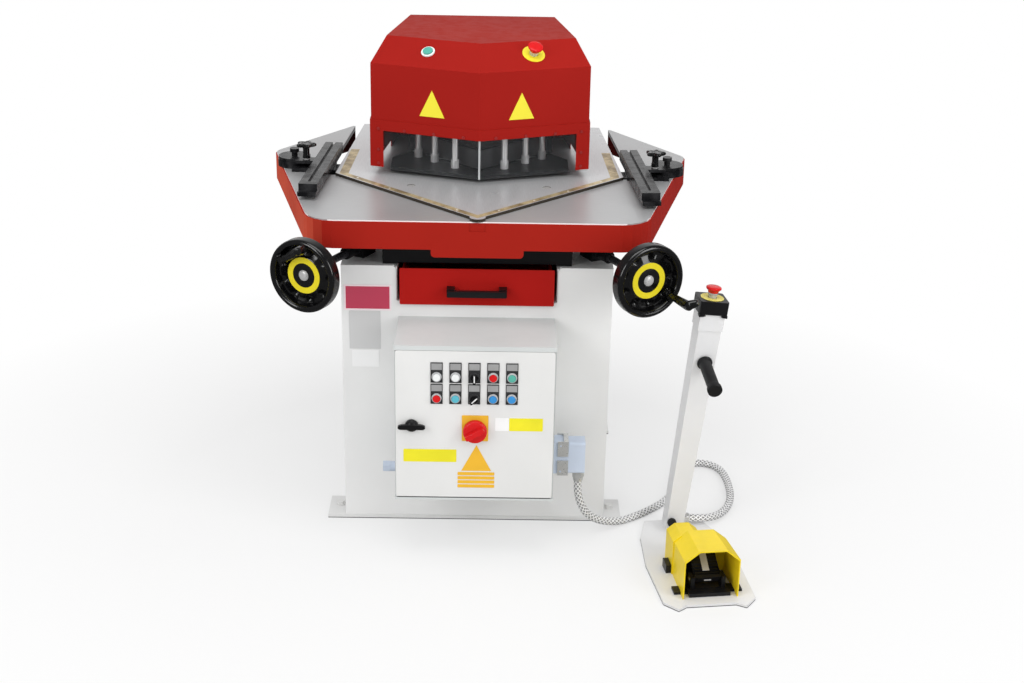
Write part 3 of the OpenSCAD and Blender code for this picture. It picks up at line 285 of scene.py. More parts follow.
hose_d = 0.020
hose_sides = 16
hose_route = [(268, -100, 172), (268, -100, 150), (271, -99, 126), (279, -95, 98), (294, -86, 69),
              (319, -71, 43), (352, -50, 24), (392, -24, 13), (434, 8, 10.5), (474, 44, 10.5),
              (510, 84, 10.5), (538, 128, 10.5), (557, 176, 10.5), (568, 226, 10.5), (578, 274, 10.5),
              (600, 314, 10.5), (638, 336, 10.5), (676, 322, 10.5), (698, 286, 10.5), (706, 240, 10.5),
              (708, 192, 10.5), (706, 144, 10.5), (698, 98, 10.5), (682, 54, 11.5), (657, 14, 14.5),
              (627, -14, 20.5), (599, -25.9, 24.6), (569.9, -30.1, 27.6)]
cabinet_low, cabinet_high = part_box("cabinet")
hose_line = smooth_route([(x / 1000, y / 1000 + cabinet_low[1], z / 1000) for x, y, z in hose_route], 0.006)
hose_length = sum((b - a).length for a, b in zip(hose_line, hose_line[1:]))

braid = Finish("steel_braid", (0.62, 0.62, 0.62), Metallic=0.25, Roughness=0.34)
along_hose, round_hose, _ = braid.place("UV")
strand_turn, strand_count = 480, 6
twist = along_hose * strand_turn
strands = round_hose * (strand_count * 2 * math.pi)
weave = (twist + strands).sine().higher((twist - strands).sine())
braid.set(Base_Color=braid.blend(braid.ramp(weave, 0.1, 0.7), (0.30, 0.30, 0.305), (0.97, 0.97, 0.97)))
braid.set(Roughness=0.5 - 0.22 * braid.ramp(weave, 0, 1))
braid.bump(weave, 0.0012, 0.8)

hose_points, hose_faces, hose_run = tube(hose_line, hose_d / 2, hose_sides)
hose = Shape().part(hose_points, hose_faces, braid).piece("hose_braid", "machine", node="hose", slot="braid")
hose_map = hose.data.uv_layers.new(name="length")
for face in hose.data.polygons:
    corners = [divmod(hose.data.loops[i].vertex_index, hose_sides) for i in face.loop_indices]
    closing = {spoke for _, spoke in corners} == {0, hose_sides - 1}
    for i, (ring, spoke) in zip(face.loop_indices, corners):
        hose_map.data[i].uv = (hose_run[ring], 1 if closing and spoke == 0 else spoke / hose_sides)


# ---- Floor and light ----
# A plain white floor that keeps the machine's soft shadow and fades to pure white further out. Shiny faces see
# the floor dim and a bright wall at the back. Large soft lamps stand on both sides and above.

dim_level = 0.14
floor_mesh = bpy.data.meshes.new("floor")
floor_mesh.from_pydata([(-30, -30, 0), (30, -30, 0), (30, 30, 0), (-30, 30, 0)], [], [(0, 1, 2, 3)])
floor = bpy.data.objects.new("floor", floor_mesh)
bpy.context.scene.collection.objects.link(floor)

white_floor = Finish("white_floor", (0.74, 0.74, 0.74), Roughness=0.9, Specular_IOR_Level=0.1)
seen = white_floor.add("LightPath", {}, out="Is Camera Ray")
mirrored = white_floor.add("LightPath", {}, out="Is Glossy Ray")
floor_x, floor_y, _ = white_floor.place()
to_front = floor_y + 0.3
far = white_floor.ramp((floor_x * floor_x + to_front * to_front).root(), 0.9, 1.9)
bright, dim = (white_floor.add("Emission", {}, [(1, 1, 1, 1), level]) for level in (1.0, dim_level))
lit = Wire(white_floor, white_floor.shader.outputs[0])
lit = white_floor.add("MixShader", {}, [seen * (0.5 + 0.5 * far), lit, bright])
lit = white_floor.add("MixShader", {}, [mirrored, lit, dim])
white_floor.put(white_floor.tree.nodes["Material Output"].inputs["Surface"], lit)
floor_mesh.materials.append(white_floor.material)

world = bpy.data.worlds.new("studio")
bpy.context.scene.world = world
world.use_nodes = True
room = Graph(world.node_tree)
looked_at = room.add("LightPath", {}, out="Is Camera Ray")
looked_through = room.add("LightPath", {}, out="Is Transmission Ray")
mirrored = room.add("LightPath", {}, out="Is Glossy Ray")
_, toward_back, _ = room.place("Generated")
back_wall = room.add("MapRange", {}, {"Value": toward_back, "From Min": 0.55, "From Max": 0.98,
                                      "To Min": dim_level, "To Max": 1.0})
level = room.add("Mix", {}, {"Factor": mirrored, "A": 0.80, "B": back_wall})
level = room.add("Mix", {}, {"Factor": looked_at.higher(looked_through), "A": level, "B": 1.0})
sky = world.node_tree.nodes["Background"]
room.put(sky.inputs["Strength"], level)
room.put(sky.inputs["Color"], (1, 1, 1, 1))


def soft_lamp(name, place, aim, size, power):
    data = bpy.data.lights.new(name, "AREA")
    data.shape = "RECTANGLE"
    data.size, data.size_y = size
    data.energy = power
    lamp = bpy.data.objects.new(name, data)
    look = (Vector(aim) - Vector(place)).to_track_quat("-Z", "Y").to_matrix().to_4x4()
    lamp.matrix_world = moved(*place) @ look
    bpy.context.scene.collection.objects.link(lamp)


machine_middle = (0.05, -0.1, 0.7)
soft_lamp("lamp_left", (-2.4, -2.8, 2.3), machine_middle, (1.4, 2.0), 40)
soft_lamp("lamp_right", (2.8, -2.4, 2.0), machine_middle, (1.4, 2.2), 42)
soft_lamp("lamp_above", (0.0, -0.9, 3.4), machine_middle, (2.2, 1.6), 30)


# ---- Painted sheet metal: cabinet, base plate, stand, control box, door ----
# Folded 3 mm sheet, powder coated in a warm grey-white. The coat has a faint orange peel. The lower rims of
# the base, the stand and the door are painted nearly black, as painted shade for the contact shadow under them.

def powder_coat(name, color, roughness=0.38, shadow_below=None):
    """A powder coat, with painted shade: nearly black below a height, for a contact shadow."""
    coat = Finish(name, color, Roughness=roughness, Coat_Weight=0.15, Coat_Roughness=0.25)
    cloud = coat.grain(5, detail=4)
    darker = [c * 0.94 for c in color]
    paint = coat.blend(coat.ramp(cloud, 0.35, 0.7), color, darker)
    # painted shade: nearly black below the given height, standing in for the contact shadow under a rim
    if shadow_below is not None:
        paint = coat.blend(coat.place()[2] < shadow_below, paint, (0.07, 0.07, 0.07))
    coat.set(Base_Color=paint)
    coat.set(Roughness=roughness + 0.08 * coat.ramp(coat.grain(40), 0.4, 0.7))
    return coat.bump(coat.grain(900, detail=1), depth=0.00012, strength=0.35)


def dress(names, finish, edge=0.0008):
    """Gives CAD pieces their finish, and broken edges."""
    for name in names.split():
        node = frame["nodes"][name]
        node.data.materials.clear()
        node.data.materials.append(finish.material)
        if edge:
            break_edges(node, edge)


# height of the painted contact shadow along the lower rims
painted_shadow_height = 0.0022
dress("cabinet rear_cover", powder_coat("cabinet_white", (0.82, 0.82, 0.815)), 0.001)
dress("base_plate", powder_coat("base_white", (0.74, 0.74, 0.735), 0.42, shadow_below=painted_shadow_height))
dress("pedal_stand", powder_coat("stand_white", (0.73, 0.73, 0.735), 0.4, shadow_below=painted_shadow_height), 0.0015)
dress("control_box", powder_coat("box_white", (0.60, 0.625, 0.62)), 0.001)
door_white = powder_coat("door_white", (0.73, 0.73, 0.72), 0.36, shadow_below=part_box("door")[0][2] + painted_shadow_height)
dress("door", door_white, 0.0016)


# ---- Red sheet: hood, guard frame, skirt, drawer ----
# Folded sheet with a deep red powder coat that hardly shines. The flat tops get their own tone as painted light,
# the skirt's left side a painted pale orange reflection, and the skirt's inside painted shade.

def red_coat(name, color, painted_light_color, painted_light_mask, painted_shade_mask=None):
    """Red paint. A first mask of (x, y, facing) paints light in a second colour, and a second mask paints shade.
    """
    coat = powder_coat(name, color, 0.42)
    coat.set(Coat_Weight=0.0, Specular_IOR_Level=0.02)
    x, y, _ = coat.place()
    facing = coat.place("Normal")
    cloud = coat.ramp(coat.grain(4, detail=4), 0.35, 0.7)
    # painted light: a second red where the first mask is 1, for how the light falls on those faces
    tone = coat.blend(painted_light_mask(x, y, facing), color, painted_light_color)
    if painted_shade_mask:
        # painted shade: nearly black red where the shade mask is 1
        tone = coat.blend(painted_shade_mask(x, y, facing), tone, (0.02, 0.003, 0.003))
    return coat.set(Base_Color=coat.blend(cloud * 0.35, tone, [c * 0.8 for c in color]))


def on_top(x, y, facing):
    return facing[2] > 0.9


# painted light: faces turned to the left, for the skirt's painted orange reflection
def painted_left_light(x, y, facing):
    return -1.8 * facing[0] - 0.5


# painted shade: faces turned inwards
def inward(x, y, facing):
    return facing[0] * x + facing[1] * y < -0.02


# painted light: the flat tops have their own red, set for how the light falls on them
deep_red, painted_top_red = (0.32, 0.0135, 0.010), (0.32, 0.015, 0.008)
dress("hood", red_coat("hood_red", deep_red, painted_top_red, on_top), 0.0015)
dress("guard_frame", red_coat("frame_red", deep_red, painted_top_red, on_top))
dress("table_skirt", red_coat("skirt_red", (0.33, 0.016, 0.010), (0.56, 0.080, 0.042), painted_left_light, inward), 0.0012)
dress("scrap_drawer", red_coat("drawer_red", (0.40, 0.0125, 0.010), painted_top_red, on_top))


# ---- Table and bed ----
# Ground steel plates: fine scratches along the grinding and a dull oily sheen. The wings have a bright cut rim
# all round the outside. The raised bed's sides are left black from the mill.

def ground_steel(name, color, along, roughness, edge=None, edge_color=None, metal=0.4):
    """Scratched steel; where the mask edge(x, y) is 1, its upright faces have the edge's colour."""
    steel = Finish(name, color, Metallic=metal, Roughness=roughness)
    fine = steel.grain(28, along, 6)
    wide = steel.grain(3.5, detail=5)
    tone = steel.ramp(fine * 0.6 + wide * 0.4, 0.3, 0.7)
    ground = steel.blend(tone, [c * 0.84 for c in color], [min(1, c * 1.08) for c in color])
    if edge:
        x, y, _ = steel.place()
        side = (abs(steel.place("Normal")[2]) < 0.6) * edge(x, y)
        ground = steel.blend(side, ground, edge_color)
        steel.set(Metallic=metal * (1 - side))
    steel.set(Base_Color=ground)
    steel.set(Roughness=roughness - 0.06 + 0.16 * steel.ramp(wide, 0.3, 0.7))
    return steel.bump(fine, 0.0002, 0.25)


table_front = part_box("table_top")[0][1]
bed_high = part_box("bed_plate")[1]


def outer_rim(x, y):
    """The wings' sides and the front, but not the edges by the bed."""
    return (abs(x) > bed_high[0] + 0.035).higher(y < table_front + 0.002)


def whole_rim(x, y):
    return 1


wing_steel = ground_steel("wing_steel", (0.455, 0.46, 0.465), (1, 40, 1), 0.34, outer_rim, (0.88, 0.88, 0.88))
dress("table_top", wing_steel, 0.0012)
bed_steel = ground_steel("bed_steel", (0.60, 0.605, 0.615), (30, 1, 1), 0.3, whole_rim, (0.03, 0.022, 0.014))
dress("bed_plate", bed_steel, 0.0008)

# Two brass rulers let in along the V, with a tick every 5 mm, and four bright screws in each
ruler_brass = Finish("ruler_brass", (0.50, 0.37, 0.16), Metallic=0.4, Roughness=0.4)
brass_x, brass_y, _ = ruler_brass.place()
along_v = (abs(brass_x) + brass_y) * math.sqrt(0.5)
tick = along_v % 0.005 < 0.0008
worn = ruler_brass.ramp(ruler_brass.grain(34, detail=6), 0.38, 0.62)
brass = ruler_brass.blend(worn, (0.66, 0.54, 0.30), (0.30, 0.22, 0.11))
ruler_brass.set(Base_Color=ruler_brass.blend(tick * 0.6, brass, (0.06, 0.05, 0.04)))
dress("edge_rulers", ruler_brass, 0)

bright_screw = Finish("bright_screw", (0.90, 0.86, 0.74), Metallic=0.3, Roughness=0.22)
bright_screw.bump(bright_screw.grain(700), 0.00005)
ruler_low, ruler_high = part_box("edge_rulers")
half_width = 0.009
screws = Shape()
for side in (-1, 1):
    for share in (0.14, 0.38, 0.62, 0.86):
        x = share * ruler_high[0]
        here = moved(side * x, ruler_low[1] + half_width * math.sqrt(2) + x, ruler_high[2])
        screws.lathe([(0, 0.0007), (0.0022, 0.0006), (0.0034, 0)], bright_screw, here, 20)
screws.piece("ruler_screws", "machine", slot="steel")


# ---- Press frame, housings, chute ----
# A frame of thick plate in satin black paint carries the ram and the housings of the two shafts. The blades and
# their holders are machined steel, and the hydraulic tank inside the cabinet is painted grey.

frame_black = powder_coat("frame_black", (0.010, 0.010, 0.011), 0.4)
frame_black.set(Coat_Weight=0.0, Specular_IOR_Level=0.2)
dress("press_frame shaft_housings scrap_chute", frame_black, 0.001)
dress("ram", powder_coat("ram_grey", (0.022, 0.022, 0.024), 0.35), 0.0008)
machined = ground_steel("machined_steel", (0.30, 0.30, 0.31), (1, 1, 30), 0.3, metal=0.85)
dress("blade_holder_left blade_holder_right hydraulic_cylinder", machined, 0.0006)
dress("upper_blades", ground_steel("blade_steel", (0.09, 0.09, 0.095), (1, 1, 30), 0.3, metal=0.8), 0.0006)
dress("power_pack", powder_coat("tank_grey", (0.10, 0.11, 0.12), 0.4))


# ---- Screws and glands ----
# Zinc plated, with the plug's two levers. Those on the guard are painted red with it, and those on the lugs at
# the cabinet's foot are painted over in white.

bolt_zinc = Finish("bolt_zinc", (0.62, 0.62, 0.61), Metallic=1.0, Roughness=0.28)
bolt_x, _, bolt_z = bolt_zinc.place()
on_guard = bolt_z > bed_high[2] + 0.006
on_lug = (bolt_z < 0.03) * (abs(bolt_x) > cabinet_high[0] - 0.003) * (bolt_x < cabinet_high[0] + 0.06)
painted = on_guard.higher(on_lug)
paint = bolt_zinc.blend(on_guard, (0.70, 0.70, 0.69), (0.27, 0.009, 0.008))
bolt_zinc.set(Base_Color=bolt_zinc.blend(painted, (0.60, 0.60, 0.59), paint), Metallic=0.45 - 0.45 * painted)
bolt_zinc.set(Roughness=0.24 + 0.2 * bolt_zinc.ramp(bolt_zinc.grain(300), 0.3, 0.7))
dress("screws_and_glands plug_lever_upper plug_lever_lower", bolt_zinc, 0.0005)


# ---- Hold-down ----
# A black V plate that presses the sheet down beside the cut. It hangs on six bright chrome rods, which go up
# into the hood.

plate_thickness = 0.0101
clamp = Finish("hold_down_finish", (0.02, 0.02, 0.022), Specular_IOR_Level=0.15)
_, _, clamp_z = clamp.place()
is_rod = clamp_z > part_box("hold_down")[0][2] + plate_thickness
clamp.set(Base_Color=clamp.blend(is_rod, (0.005, 0.005, 0.0055), (0.74, 0.74, 0.75)))
clamp.set(Metallic=0.45 * is_rod, Roughness=0.38 - 0.26 * is_rod + 0.05 * clamp.grain(200))
dress("hold_down", clamp, 0.0006)


# ---- Clear guard ----
# A folded sheet of clear polycarbonate behind the red frame. It shows more where it is seen at a low angle, in
# faint smears, and down its fold, where a pale, less clear strip is a painted highlight.

clear = Finish("clear_sheet", (0.26, 0.27, 0.28), Roughness=0.05, IOR=1.45)
glance = clear.add("LayerWeight", {}, {"Blend": 0.3}, out="Facing")
clear_x, _, _ = clear.place()
# painted highlight: a pale strip 5 mm wide down the fold, less clear than the rest of the sheet
fold_highlight = abs(clear_x) < 0.0025
smears = clear.ramp(clear.grain(9, detail=5), 0.5, 0.75)
clear.set(Alpha=0.05 + 0.3 * glance * glance + 0.04 * smears + 0.45 * fold_highlight)
clear.set(Base_Color=clear.blend(fold_highlight, (0.20, 0.21, 0.22), (0.62, 0.64, 0.65)))
dress("guard_screen", clear, 0.0006)


# ---- Handwheels ----
# Dished wheels of gloss black plastic with finger hollows inside the rim, a yellow ring printed round the hub
# and a domed steel bolt. The shaft behind runs to the blade holder. The crank folds between two ears, and its
# grip has long ribs and a round elbow.

def moulded(name, color, roughness=0.3, texture=0.00006, scale=1400):
    plastic = Finish(name, color, Roughness=roughness, Specular_IOR_Level=0.25)
    cloud = plastic.ramp(plastic.grain(12, detail=3), 0.35, 0.7)
    plastic.set(Base_Color=plastic.blend(cloud, color, [c * 0.88 for c in color]))
    plastic.set(Roughness=roughness + 0.06 * plastic.ramp(plastic.grain(90), 0.4, 0.7))
    return plastic.bump(plastic.grain(scale, detail=1), texture, 0.3)


def find_joint(name):
    """A joint's place, which a slide doesn't have, and the way of its axis."""
    joint = next(j for j in frame["joints"] if j["name"] == name)
    return Vector(joint.get("pos_m", (0, 0, 0))), Vector(joint["axis"])


def stood(at, x, y, z):
    """A place whose own x, y and z run these ways."""
    return Matrix.Translation(at) @ Matrix((x, y, z)).transposed().to_4x4()


def along(at, axis):
    """A place with +Z along an axis and +X level."""
    side = Vector((0, 0, 1)).cross(axis).normalized()
    return stood(at, side, axis.cross(side), axis)


gloss_black = moulded("gloss_black", (0.003, 0.003, 0.0034), 0.15, 0.00002)
gloss_black.set(Specular_IOR_Level=0.7)
ring_yellow = moulded("ring_yellow", (0.74, 0.62, 0.015), 0.3)
dull_steel = Finish("dull_steel", (0.56, 0.56, 0.56), Metallic=0.35, Roughness=0.3)
dull_steel.set(Roughness=0.24 + 0.22 * dull_steel.ramp(dull_steel.grain(160), 0.35, 0.7))
shaft_black = moulded("shaft_black", (0.02, 0.02, 0.022), 0.25)
wheel_r = 0.093
shaft_r, shaft_l = 0.0099, 0.611
hollows, hollow_r, hollow_h = 9, 0.066, 0.007


def finger_hollow(radius, height, turn):
    """Presses hollows into the dish, close inside the rim, and leaves the wheel's back as it is."""
    ripple = max(0, math.cos(hollows * turn)) ** 0.7
    band = max(0, 1 - abs(radius - hollow_r) / 0.013)
    return radius, height - hollow_h * ripple * band * (height > -0.013)


def handwheel(side):
    here = along(*find_joint("handwheel_%s_turn" % side))
    rim_w, rim_h = 0.0088, 0.0095
    angles = [math.radians(a) for a in range(0, 181, 20)]
    rim = [(wheel_r - rim_w + rim_w * math.cos(a), 0.0055 + rim_h * math.sin(a)) for a in angles]
    front = [(0.0745, -0.006), (0.072, -0.0085), (0.066, -0.0088), (0.060, -0.007), (0.054, -0.0045),
             (0.0485, -0.0012), (0.046, 0.0004), (0.0, 0.0004)]
    back = [(0.0101, -0.040), (0.0195, -0.040), (0.020, -0.0385), (0.020, -0.017), (0.050, -0.014),
            (0.074, -0.0178), (0.077, -0.0198), (0.084, -0.0208), (0.0900, -0.0198), (0.0928, -0.016)]
    wheel = Shape().lathe(back + rim + front, gloss_black, here, 144, finger_hollow)
    wheel.lathe([(0.031, 0.0004), (0.0312, 0.001), (0.0458, 0.001), (0.046, 0.0002)], ring_yellow, here, 72)
    wheel.lathe([(0.0135, 0.0004), (0.0135, 0.0016), (0.0118, 0.0018), (0.0115, 0.0036), (0.0085, 0.0052),
                 (0.0045, 0.0059), (0, 0.006)], dull_steel, here, 36)
    wheel.lathe([(0.0, -shaft_l), (shaft_r, -shaft_l), (shaft_r, -0.038)], shaft_black, here, 32)
    return wheel


fold_angle = 76


def crank_place(side):
    """The crank's hinge: +X is its pin and +Z runs along the grip, which on the left is folded down at rest."""
    _, out = find_joint("handwheel_%s_turn" % side)
    if side == "right":
        at, pin = find_joint("crank_right_fold")
        return stood(at, -pin, out.cross(-pin), out)
    at, pin = find_joint("crank_left_unfold")
    return stood(at, pin, out.cross(pin), out) @ rotated(-fold_angle, "X")


def ribs(radius, height, turn):
    """Long ribs down the grip, which run out at both ends."""
    band = min(1, max(0, (height - 0.029) / 0.006)) * min(1, max(0, (0.086 - height) / 0.006))
    return radius - 0.0011 * band * (math.cos(10 * turn) < 0), height


for side in ("left", "right"):
    wheel = handwheel(side)
    grip = Shape()
    here = crank_place(side)

    hinge = here @ rotated(fold_angle if side == "left" else 0, "X")
    for x in (-0.0125, 0.0125):
        wheel.box((x - 0.002, -0.0085, -0.023), (x + 0.002, 0.0085, 0), gloss_black, hinge)
        wheel.lathe([(0, -0.002), (0.0088, -0.002), (0.009, -0.0015), (0.009, 0.0015), (0.0088, 0.002),
                     (0, 0.002)], gloss_black, hinge @ moved(x, 0, 0) @ rotated(90, "Y"), 28)
    wheel.lathe([(0, -0.0145), (0.0029, -0.0145), (0.0029, 0.0145), (0, 0.0145)], dull_steel,
                hinge @ rotated(90, "Y"), 20)
    wheel.piece("handwheel_rim_" + side, "handwheel_" + side, node="handwheel_" + side, slot="black_plastic")

    grip.lathe([(0, -0.0098), (0.0072, -0.0098), (0.0079, -0.009), (0.0079, 0.009), (0.0072, 0.0098),
                (0, 0.0098)], gloss_black, here @ rotated(90, "Y"), 32)
    grip.lathe([(0, 0), (0.0068, 0.002), (0.0068, 0.016), (0.0092, 0.017), (0.0099, 0.019), (0.0099, 0.022),
                (0.0088, 0.0245), (0.0088, 0.029), (0.0095, 0.035), (0.0105, 0.055), (0.0115, 0.075),
                (0.0119, 0.086), (0.0119, 0.089), (0.0105, 0.0965), (0.006, 0.0995), (0, 0.1)],
               gloss_black, here, 80, ribs)
    grip.lathe([(0, 0), (0.0117, 0), (0.0117, 0.005), (0.0104, 0.016), (0.0095, 0.022), (0.0075, 0.0252),
                (0, 0.0262)], gloss_black, here @ moved(0, 0, 0.088) @ rotated(60, "X"), 40)
    grip.piece("crank_grip_" + side, "crank_" + side, node="crank_" + side, slot="black_plastic")


# ---- Door panel ----
# Ten black holders with a grey insert each, plain yellow and white plates, and the main switch's yellow plate.
# The caps are smooth plastic in pale bezels, and the two selectors have a white pointer.

door_low, door_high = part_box("door")
door_middle = (door_low[2] + door_high[2]) / 2


def on_door(x, z):
    """A place on the door's face, with +Z out to the front and +Y up."""
    return moved(x, door_low[1], z) @ rotated(90, "X")


def centre(node):
    low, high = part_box(node)
    return (low + high) / 2


satin_black = moulded("satin_black", (0.008, 0.008, 0.009), 0.32)
holder_black = moulded("holder_black", (0.035, 0.035, 0.037), 0.42)
insert_grey = moulded("insert_grey", (0.33, 0.33, 0.33), 0.5)
bezel_grey = moulded("bezel_grey", (0.50, 0.51, 0.52), 0.24)
plate_white = moulded("plate_white", (0.86, 0.86, 0.86), 0.4)
plate_yellow = moulded("plate_yellow", (0.84, 0.76, 0.02), 0.42)
amber = moulded("amber", (0.82, 0.46, 0.03), 0.42)
caps = {"red": moulded("cap_red", (0.66, 0.012, 0.014), 0.2),
        "green": moulded("cap_green", (0.10, 0.42, 0.34), 0.2),
        "blue": moulded("cap_blue", (0.045, 0.27, 0.62), 0.2),
        "light_blue": moulded("cap_pale", (0.11, 0.47, 0.58), 0.2),
        "white": moulded("cap_white", (0.84, 0.86, 0.86), 0.22)}

low_left, top_right = centre("red_button"), centre("start_button")
column = (top_right[0] - low_left[0]) / 4


def cap(shape, color, at):
    """A round cap that stands 10 mm out, over its bezel."""
    return shape.lathe([(0, 0.0035), (0.0094, 0.0035), (0.0094, 0.0092), (0.0086, 0.0099), (0.005, 0.0102),
                        (0, 0.0103)], caps[color], at, 32)


panel = Shape()
for z in (top_right[2], low_left[2]):
    for i in range(5):
        here = on_door(low_left[0] + i * column, z)
        panel.prism([(-0.015, -0.016), (0.015, -0.016), (0.015, 0.038), (-0.015, 0.038)], 0, 0.0017,
                    holder_black, here)
        panel.prism([(-0.0132, 0.0185), (0.0132, 0.0185), (0.0132, 0.0355), (-0.0132, 0.0355)], 0.0015, 0.002,
                    insert_grey, here)
        panel.lathe([(0.0098, 0.0017), (0.0098, 0.0068), (0.0103, 0.0073), (0.0112, 0.0072), (0.0123, 0.005),
                     (0.0126, 0.0017)], holder_black if i == 2 else bezel_grey, here, 40)
for i in range(2):
    cap(panel, "white", on_door(low_left[0] + i * column, top_right[2]))

switch = centre("main_switch")


def round_corners(w, h, r):
    """The outline of a plate of half sizes w and h, with corners of radius r."""
    return [(sx * (w - r) + r * math.cos(math.radians(t)), sy * (h - r) + r * math.sin(math.radians(t)))
            for sx, sy, start in ((1, 1, 0), (-1, 1, 90), (-1, -1, 180), (1, -1, 270))
            for t in (start, start + 30, start + 60, start + 90)]


def plain_plate(x0, x1, z0, z1, finish, height=0.0006):
    """A thin plate on the door; heights are from the door's middle."""
    here = on_door((x0 + x1) / 2, door_middle + (z0 + z1) / 2)
    panel.prism(round_corners((x1 - x0) / 2, (z1 - z0) / 2, 0.002), 0, height, finish, here)


plain_plate(switch[0] - 0.033, switch[0] + 0.033, -0.041, 0.029, amber, 0.002)
plain_plate(0.086, door_high[0] - 0.027, -0.0125, 0.0225, plate_yellow)
plain_plate(0.051, 0.0855, -0.0125, 0.0225, plate_white)
plain_plate(door_low[0] + 0.019, -0.045, -0.1005, -0.0655, plate_yellow)
for i in range(4):
    plain_plate(-0.042, 0.051, -0.1715 + i * 0.0115, -0.1625 + i * 0.0115, amber)
panel.prism([(-0.038, -0.1245), (0.038, -0.1245), (0, -0.0525)], 0, 0.0006, amber, on_door(0.005, door_middle))
panel.piece("door_panel", "door", 0.0003, node="door_fittings", slot="sign_yellow")

for name, color in (("stop_button", "red"), ("start_button", "green"), ("red_button", "red"),
                    ("teal_button", "light_blue"), ("blue_button_left", "blue"), ("blue_button_right", "blue")):
    here = on_door(centre(name)[0], centre(name)[2])
    button = cap(Shape(), color, here)
    button.lathe([(0, -0.008), (0.0078, -0.008), (0.0078, 0.004)], satin_black, here, 24)
    button.piece("cap_" + name, name, node=name, slot=color + "_plastic")

for name, turn in (("mode_selector", 0), ("stroke_selector", 45)):
    pivot, _ = find_joint(name + "_turn")
    here = on_door(pivot[0], pivot[2]) @ rotated(-turn, "Z")
    knob = Shape().lathe([(0, -0.008), (0.0078, -0.008), (0.0078, 0.0025), (0.0095, 0.0025), (0.0095, 0.007),
                          (0.0085, 0.008), (0, 0.0082)], satin_black, here, 32)
    knob.prism([(-0.0034, -0.0135), (0.0034, -0.0135), (0.0042, -0.004), (0.0036, 0.0098), (0, 0.0112),
                (-0.0036, 0.0098), (-0.0042, -0.004)], 0.008, 0.0188, satin_black, here)
    knob.prism([(-0.0014, -0.0085), (0.0014, -0.0085), (0.0014, 0.0098), (-0.0014, 0.0098)], 0.0187, 0.0191,
               plate_white, here)
    knob.piece("knob_" + name, name, 0.0005, node=name, slot="black_plastic")

pivot, _ = find_joint("main_switch_turn")
here = on_door(pivot[0], pivot[2])
switch_knob = Shape().lathe([(0, -0.006), (0.0059, -0.006), (0.0059, 0.0023), (0.0295, 0.0023), (0.030, 0.004),
                             (0.030, 0.012), (0.0285, 0.0155), (0.026, 0.0172), (0.0225, 0.018), (0, 0.0185)],
                            caps["red"], here, 64)
switch_knob.prism([(-0.0052, -0.0262), (0.0052, -0.0262), (0.0078, -0.014), (0.0062, 0), (0.0078, 0.014),
                   (0.0048, 0.0255), (0, 0.0268), (-0.0048, 0.0255), (-0.0078, 0.014), (-0.0062, 0),
                   (-0.0078, -0.014)], 0.0165, 0.0315, caps["red"], here @ rotated(-60, "Z"))
switch_knob.piece("switch_knob", "main_switch", 0.0012, node="main_switch", slot="red_plastic")

pivot, _ = find_joint("latch_turn")
here = on_door(pivot[0], pivot[2])
stem = [(0, -0.0195), (0.0059, -0.0195), (0.0059, 0.0004), (0.0155, 0.0004)]
angles = [math.radians(a) for a in range(0, 90, 15)]
dome = [(0.0168 * math.cos(a), 0.0025 + 0.0155 * math.sin(a)) for a in angles]
wing = [(0.034 * x, 0.0068 * y)
        for x, y in ((-1, -0.5), (-0.86, -0.95), (0.86, -0.95), (1, -0.5), (1, 0.35), (0.84, 0.8),
                     (0.5, 0.98), (-0.5, 0.98), (-0.84, 0.8), (-1, 0.35))]
latch = Shape().lathe(stem + dome + [(0, 0.018)], satin_black, here, 44)
latch.prism(wing, 0.0082, 0.0178, satin_black, here)
latch.box((-0.034, -0.008, -0.0135), (0.01, 0.008, -0.0105), machined, here)
latch.piece("latch_wing", "latch", 0.0012, node="door_latch", slot="black_plastic")


# ---- Drawer handle ----
# A black bridge handle, moulded in one piece with round edges. It stands on two feet in the middle of the
# drawer's front.

dress("drawer_handle", satin_black, 0.0045)


# ---- Signs on the hood and the cabinet ----
# Plain fields of colour: yellow triangles and a pale disc on the hood, and on the cabinet a red plate with a
# pink border, a grey one under it and pale ones.

cabinet_top = cabinet_high[2]
signs = Finish("sign_fields", (0.86, 0.72, 0.02), Roughness=0.42)
sign_x, sign_y, sign_z = signs.place()
on_cabinet = sign_z < cabinet_top


def field(x0, x1, z0, z1):
    """A mask that is 1 inside a box on the cabinet's front, from its top left corner."""
    x, z = sign_x - cabinet_low[0], sign_z - cabinet_top
    return (x > x0) * (x < x1) * (z > z0) * (z < z1)


start = centre("hood_start_button")
from_x, from_y = sign_x - start[0], sign_y - start[1]
ring = ((from_x * from_x + from_y * from_y).root() < 0.024) * (sign_z > start[2] - 0.03)
color = signs.blend(on_cabinet, (0.84, 0.74, 0.03), (0.86, 0.86, 0.86))
color = signs.blend(field(0, 0.13, -0.122, -0.05), color, (0.90, 0.74, 0.78))
color = signs.blend(field(0.0112, 0.1228, -0.1168, -0.0562), color, (0.56, 0.045, 0.10))
color = signs.blend(field(0.0, 0.13, -0.2275, -0.1225), color, (0.60, 0.60, 0.60))
signs.set(Base_Color=signs.blend(ring, color, (0.80, 0.84, 0.82)))
signs.bump(signs.grain(500), 0.00003, 0.2)
dress("sign_plates", signs, 0)


# ---- Controls on the hood ----
# A green start button and a red stop mushroom on a silver neck, both of moulded plastic. They stand square to the
# sloping sheet. The post's mushroom is the same model.

